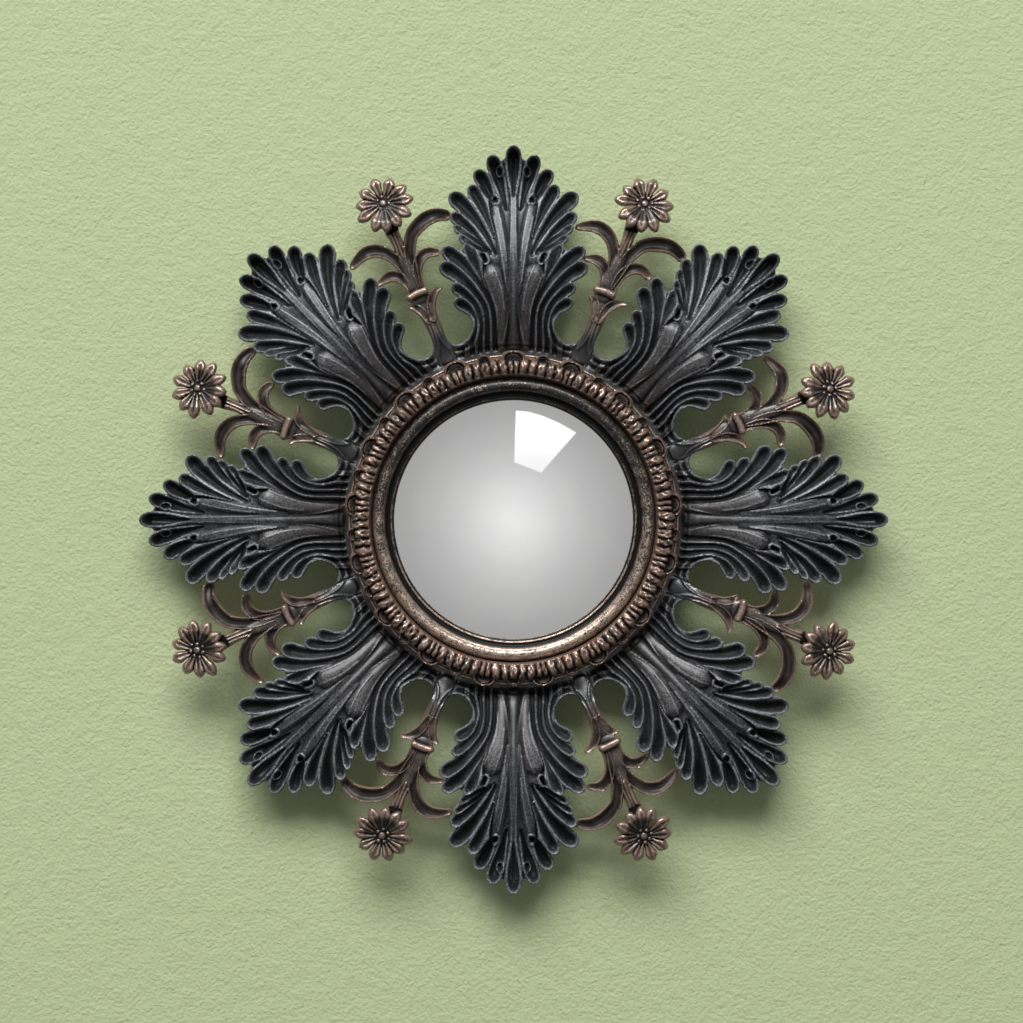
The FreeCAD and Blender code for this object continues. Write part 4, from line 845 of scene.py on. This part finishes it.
def copper_resin(name, foot=False, bead=False):
    """Dark brown with rubbed copper: with a charcoal foot on the sprigs, and on the bezel with a rubbed bead
    painted lighter at its bottom as light from above and a hollow painted near black as shade.
    """
    s = Shader(name)
    cloud = s.noise(9.0, 4.0)
    grain = s.noise(0.8, 3.0, 0.7)
    fine = s.noise(0.3, 2.0, 0.7)
    crest = s.field("crest")
    swell = s.field("swell")
    patch = s.noise(3.5, 3.0, 0.6)
    colour = s.mix(s.ramp(cloud, 0.35, 0.65), (0.0085, 0.0072, 0.0068), (0.019, 0.014, 0.012))
    high = s.spread(s.spread(swell, patch, 1.6), grain, 0.8)
    brown = s.times(s.ramp(high, -0.1, 0.8), 0.68 if foot else 0.85)
    colour = s.mix(brown, colour, (0.118, 0.076, 0.058))
    speck = s.noise(0.55, 3.0, 0.75)
    bright = s.times(s.ramp(s.spread(crest, patch, 0.22), 0.03, 0.22), s.ramp(speck, 0.42, 0.55))
    if bead:
        on_bead = s.field("bead")
        height = s.node("ShaderNodeSeparateXYZ", {"Vector": s.place}).outputs["Z"]
        # Painted light: the bead's bright copper is laid on more towards the bottom of the mirror, where light
        # from above falls on it, and less at its top, over real rubbed patches.
        lower = s.ramp(s.math("SUBTRACT", height, AXIS_METRES), 0.045, -0.045, -0.11, 0.07)
        worn_and_lit_below = s.ramp(s.math("ADD", s.spread(speck, patch, 0.4), lower), 0.45, 0.60)
        bright = s.times(on_bead, worn_and_lit_below)
        # Painted shade: the hollow between the bead and the glass is painted near black.
        painted_shade_cove = s.field("painted_shade_cove")
        colour = s.mix(painted_shade_cove, colour, (0.0065, 0.0062, 0.006))
    if foot:
        dark = s.field("foot")
        colour = s.mix(dark, colour, (0.015, 0.0155, 0.0165))
        light = s.mix(dark, (0.46, 0.33, 0.26), (0.15, 0.158, 0.172))
    elif bead:
        light = (0.58, 0.45, 0.36)
    else:
        light = s.mix(s.ramp(patch, 0.35, 0.65), (0.52, 0.41, 0.345), (0.42, 0.25, 0.175))
    colour = s.mix(s.times(bright, 0.85), colour, light)
    bump = s.bump(grain, 0.06, 0.6)
    bump = s.bump(fine, 0.05, 0.5, bump)
    proud = s.ramp(crest, -0.25, 0.15)
    if bead:
        # Painted shade: less gloss in the hollow that is painted near black.
        proud = s.math("SUBTRACT", proud, painted_shade_cove)
    s.set(Base_Color=colour, Roughness=s.ramp(grain, 0.3, 0.7, 0.26, 0.44), Normal=bump,
          Specular_IOR_Level=s.ramp(proud, 0.0, 1.0, 0.10, 0.80), Metallic=s.times(bright, 0.7))
    return s.material


def mirror_glass():
    """Silvered glass with a faint haze and dust."""
    s = Shader("mirror_glass")
    haze = s.noise(22.0, 4.0)
    dust = s.noise(0.5, 2.0, 0.8)
    tone = s.mix(s.ramp(haze, 0.3, 0.7), (0.90, 0.90, 0.90), (0.87, 0.875, 0.88))
    rough = s.math("ADD", s.ramp(haze, 0.3, 0.7, 0.015, 0.035), s.ramp(dust, 0.66, 0.78, 0.0, 0.10))
    s.set(Base_Color=tone, Roughness=rough, Normal=s.bump(haze, 0.004, 0.2), Metallic=1.0)
    return s.material


def plain_material(name, dark, light, size, rough, bump_mm, metallic=0.0, stretch=None, spots=None):
    """Two tones, grain, darker clouds and, where given, spots for the hidden hardware and boards."""
    s = Shader(name)
    grain = s.noise(size, 4.0, 0.65, stretch)
    cloud = s.noise(size * 9, 3.0)
    tone = s.mix(s.ramp(grain, 0.32, 0.68), dark, light)
    tone = s.mix(s.ramp(cloud, 0.3, 0.75, 0.0, 0.35), tone, tuple(0.6 * c for c in dark))
    if spots:
        tone = s.mix(s.ramp(s.noise(size * 0.4, 2.0, 0.8), 0.62, 0.72, 0.0, 0.8), tone, spots)
    s.set(Base_Color=tone, Roughness=s.ramp(grain, 0.3, 0.7, rough - 0.07, rough + 0.07),
          Normal=s.bump(grain, bump_mm, 0.6), Metallic=metallic)
    return s.material


# Stage, lamps and camera.

MIDDLE = Vector((0, 0, AXIS_METRES))


def stage_plane(name, corners, colour, one_sided):
    """A rough plastered plane; a one-sided one can be looked through from behind and casts no shadow."""
    mesh = bpy.data.meshes.new(name)
    mesh.from_pydata(corners, [], [(0, 1, 2, 3)])
    obj = place_object(name, mesh)
    s = Shader(name)
    patch = s.noise(60.0, 3.0)
    tone = s.mix(patch, colour, tuple(c * 0.97 for c in colour))
    plaster = s.bump(s.noise(1.3, 3.0, 0.6), 0.55, 1.0, s.bump(s.noise(5.0, 2.0), 0.5, 0.9))
    s.set(Base_Color=tone, Roughness=0.9, Normal=plaster, Specular_IOR_Level=0.05)
    if one_sided:
        output = s.tree.nodes["Material Output"]
        clear = s.node("ShaderNodeBsdfTransparent").outputs[0]
        behind = s.node("ShaderNodeNewGeometry").outputs["Backfacing"]
        shadow = s.node("ShaderNodeLightPath").outputs["Is Shadow Ray"]
        choice = s.node("ShaderNodeMixShader")
        s.put(choice.inputs[0], s.math("MAXIMUM", behind, shadow))
        s.put(choice.inputs[1], s.surface.outputs[0])
        s.put(choice.inputs[2], clear)
        s.put(output.inputs["Surface"], choice.outputs[0])
    mesh.materials.append(s.material)
    return obj


def area_lamp(name, place, size, watts):
    """A lamp turned to the mirror. Only the key shows in gloss."""
    data = bpy.data.lights.new(name, "AREA")
    data.shape = "RECTANGLE"
    data.size, data.size_y = size
    data.energy = watts
    lamp = place_object(name, data)
    lamp.location = place
    lamp.rotation_mode = "QUATERNION"
    lamp.rotation_quaternion = (MIDDLE - Vector(place)).to_track_quat("-Z", "Y")
    lamp.visible_glossy = name == "key"


def stage():
    wall_y, floor_z, wall_top, half = WALL_Y * 0.001, -1.4, 2.0, 3
    stage_plane("wall", [(-half, wall_y, floor_z), (half, wall_y, floor_z), (half, wall_y, wall_top),
                         (-half, wall_y, wall_top)], (0.46, 0.53, 0.31), True)
    floor = stage_plane("floor", [(-half, -half, floor_z), (half, -half, floor_z), (half, half, floor_z),
                                  (-half, half, floor_z)], (0.62, 0.61, 0.58), False)
    floor.visible_glossy = False
    floor.visible_diffuse = False
    area_lamp("key", (-0.5, -2.5, 2.95), (3.8, 1.8), 248.0)
    area_lamp("fill", (2.4, -2.0, -0.4), (1.6, 1.6), 2.5)
    area_lamp("rear", (-0.6, 1.5, 1.0), (1.6, 1.6), 80.0)
    softbox()


# The room that gloss shows: degrees off the line straight forward or back, and brightness.
ROOM = [(78, 0.10), (50, 0.14), (34, 0.40), (28, 0.455), (20, 0.56), (13, 0.69), (6, 0.84), (0, 0.93)]
DIFFUSE_STRENGTH = 0.18


def room():
    world = bpy.data.worlds.new("world")
    world.use_nodes = True
    tree = world.node_tree
    background = tree.nodes["Background"]
    background.inputs["Color"].default_value = (0.985, 0.985, 0.975, 1)
    direction = tree.nodes.new("ShaderNodeTexCoord")
    facing = tree.nodes.new("ShaderNodeVectorMath")
    facing.operation = "DOT_PRODUCT"
    facing.inputs[1].default_value = (0.0, -1.0, 0.0)
    tree.links.new(direction.outputs["Generated"], facing.inputs[0])
    gloss = tree.nodes.new("ShaderNodeValToRGB")
    stops = gloss.color_ramp.elements
    stops.remove(stops[0])
    for degrees, level in ROOM:
        stop = stops.new(math.cos(math.radians(degrees))) if degrees else stops[-1]
        stop.color = (level, level, level, 1)
    either_way = tree.nodes.new("ShaderNodeMath")
    either_way.operation = "ABSOLUTE"
    tree.links.new(facing.outputs["Value"], either_way.inputs[0])
    tree.links.new(either_way.outputs[0], gloss.inputs["Fac"])
    path = tree.nodes.new("ShaderNodeLightPath")
    strength = tree.nodes.new("ShaderNodeMix")
    strength.data_type = "FLOAT"
    strength.inputs["A"].default_value = DIFFUSE_STRENGTH
    tree.links.new(path.outputs["Is Glossy Ray"], strength.inputs["Factor"])
    tree.links.new(gloss.outputs["Color"], strength.inputs["B"])
    tree.links.new(strength.outputs["Result"], background.inputs["Strength"])
    bpy.context.scene.world = world
    bpy.context.scene.view_settings.view_transform = "Standard"


# The picture is 1023 pixels wide, and a pixel is this many millimetres on the mirror.
FRAME_PIXELS = 1023
PIXEL = 0.3780
# Outline of the bright patch on the glass, in pixels, and the pixel that stands for the glass's middle.
PATCH_MIDDLE = (513.0, 523.2)
SOFTBOX_PIXELS = [(515.5, 416.2), (528.3, 417.4), (542, 421.4), (559.3, 429), (575, 438), (557.7, 457.6),
                  (540.3, 477.6), (527, 472.3), (513.8, 467.2)]
# The point that the patch is traced from and the softbox's distance from the glass, in metres.
EYE = MIDDLE + Vector((0.0, -1.065, 0.0))
SOFTBOX_DISTANCE = 1.5


def softbox():
    """The window-like lamp whose image the convex glass shows, placed by the glass's own curve."""
    corners = []
    for px, py in SOFTBOX_PIXELS:
        x, z = (px - PATCH_MIDDLE[0]) * PIXEL, (PATCH_MIDDLE[1] - py) * PIXEL
        d = math.sqrt(GLASS_CURVE ** 2 - x * x - z * z)
        normal = Vector((x, -d, z)) / GLASS_CURVE
        hit = Vector((x, WALL_Y - GLASS_CENTRE - d, z + AXIS_Z)) * 0.001
        ray = (hit - EYE).normalized()
        away = ray - 2 * ray.dot(normal) * normal
        corners.append(hit + away * (SOFTBOX_DISTANCE / -away.y))
    mesh = bpy.data.meshes.new("softbox")
    mesh.from_pydata(corners, [], [tuple(range(len(corners)))])
    obj = place_object("softbox", mesh)
    s = Shader("softbox")
    height = s.node("ShaderNodeSeparateXYZ", {"Vector": s.place}).outputs["Z"]
    low, high = min(c.z for c in corners), max(c.z for c in corners)
    s.set(Base_Color=(0, 0, 0, 1), Emission_Color=(1, 1, 1, 1),
          Emission_Strength=s.ramp(height, low, high, 1.02, 1.35))
    mesh.materials.append(s.material)
    obj.visible_camera = False
    obj.visible_diffuse = False
    obj.visible_shadow = False


def camera():
    """Straight on, at the distance where the mirror fills the photograph's share of the frame."""
    data = bpy.data.cameras.new("camera")
    data.sensor_width = 36.0
    data.lens = 100.0
    data.clip_start, data.clip_end = 0.01, 20
    cam = place_object("camera", data)
    distance = FRAME_PIXELS * PIXEL * data.lens / data.sensor_width
    left, up = 2.0 * PIXEL, 8.0 * PIXEL
    cam.location = Vector((-left, -distance, AXIS_Z + up)) * 0.001
    cam.rotation_euler = (math.radians(90), 0, 0)
    bpy.context.scene.camera = cam


LEAF_NAMES = ["leaf_top", "leaf_top_right", "leaf_right", "leaf_bottom_right",
              "leaf_bottom", "leaf_bottom_left", "leaf_left", "leaf_top_left"]


def turned_copy(mesh, clockwise):
    """A copy of a mesh, turned round the mirror's axis."""
    made = mesh.copy()
    n = len(made.vertices)
    co = np.empty(n * 3)
    made.vertices.foreach_get("co", co)
    co = co.reshape(-1, 3)
    a = math.radians(clockwise)
    x, z = co[:, 0].copy(), co[:, 2] - AXIS_METRES
    co[:, 0] = x * math.cos(a) + z * math.sin(a)
    co[:, 2] = z * math.cos(a) - x * math.sin(a) + AXIS_METRES
    made.vertices.foreach_set("co", co.ravel())
    made.update()
    return made


def leaves():
    mesh = leaf_mesh()
    material = charcoal_resin()
    for number, name in enumerate(LEAF_NAMES):
        piece("carved_" + name, turned_copy(mesh, number * STEP), material, [name])


def sprigs():
    mesh = sprig_mesh()
    material = copper_resin("copper_resin_sprig", foot=True)
    for number in range(LEAVES):
        piece(f"carved_flower_sprig_{number + 1}", turned_copy(mesh, (number + 0.5) * STEP), material,
              [f"flower_sprig_{number + 1}"])


def rings_and_glass():
    piece("carved_ring", moulding_mesh(), copper_resin("copper_resin_ring"),
          ["ring_moulding"])
    piece("bezel", bezel_mesh(), copper_resin("copper_resin_bezel", bead=True),
          ["bezel_ring"])
    piece("convex_glass", glass_mesh(), mirror_glass(), ["mirror_glass"])


def back_finishes():
    """Better finishes for the pieces that keep their CAD shapes."""
    board = plain_material("black_board", (0.016, 0.016, 0.017), (0.030, 0.030, 0.032), 0.7, 0.62, 0.06)
    hardboard = plain_material("hardboard", (0.115, 0.062, 0.032), (0.19, 0.11, 0.06), 0.9, 0.66, 0.10,
                               stretch=(1.0, 1.0, 0.35), spots=(0.05, 0.028, 0.016))
    steel = plain_material("zinc_steel", (0.36, 0.36, 0.33), (0.58, 0.57, 0.52), 0.35, 0.38, 0.01,
                           metallic=0.3, stretch=(1.0, 1.0, 0.2), spots=(0.20, 0.19, 0.17))
    foam = plain_material("foam", (0.018, 0.018, 0.018), (0.05, 0.05, 0.05), 0.4, 0.9, 0.12)
    felt = plain_material("felt", (0.015, 0.015, 0.017), (0.04, 0.04, 0.044), 0.25, 0.95, 0.15)
    steel_nodes = ["ring_screws", "turn_button_screws", "hanger_plate", "hanger_screws"]
    steel_nodes += [f"turn_button_{n}" for n in range(1, 5)]
    finishes = {"back_ring": board, "backing_disc": hardboard, "foam_ring": foam, "wall_pads": felt,
                **dict.fromkeys(steel_nodes, steel)}
    for name, material in finishes.items():
        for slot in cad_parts[name].material_slots:
            slot.material = material


leaves()
sprigs()
rings_and_glass()
back_finishes()
stage()
room()
camera()
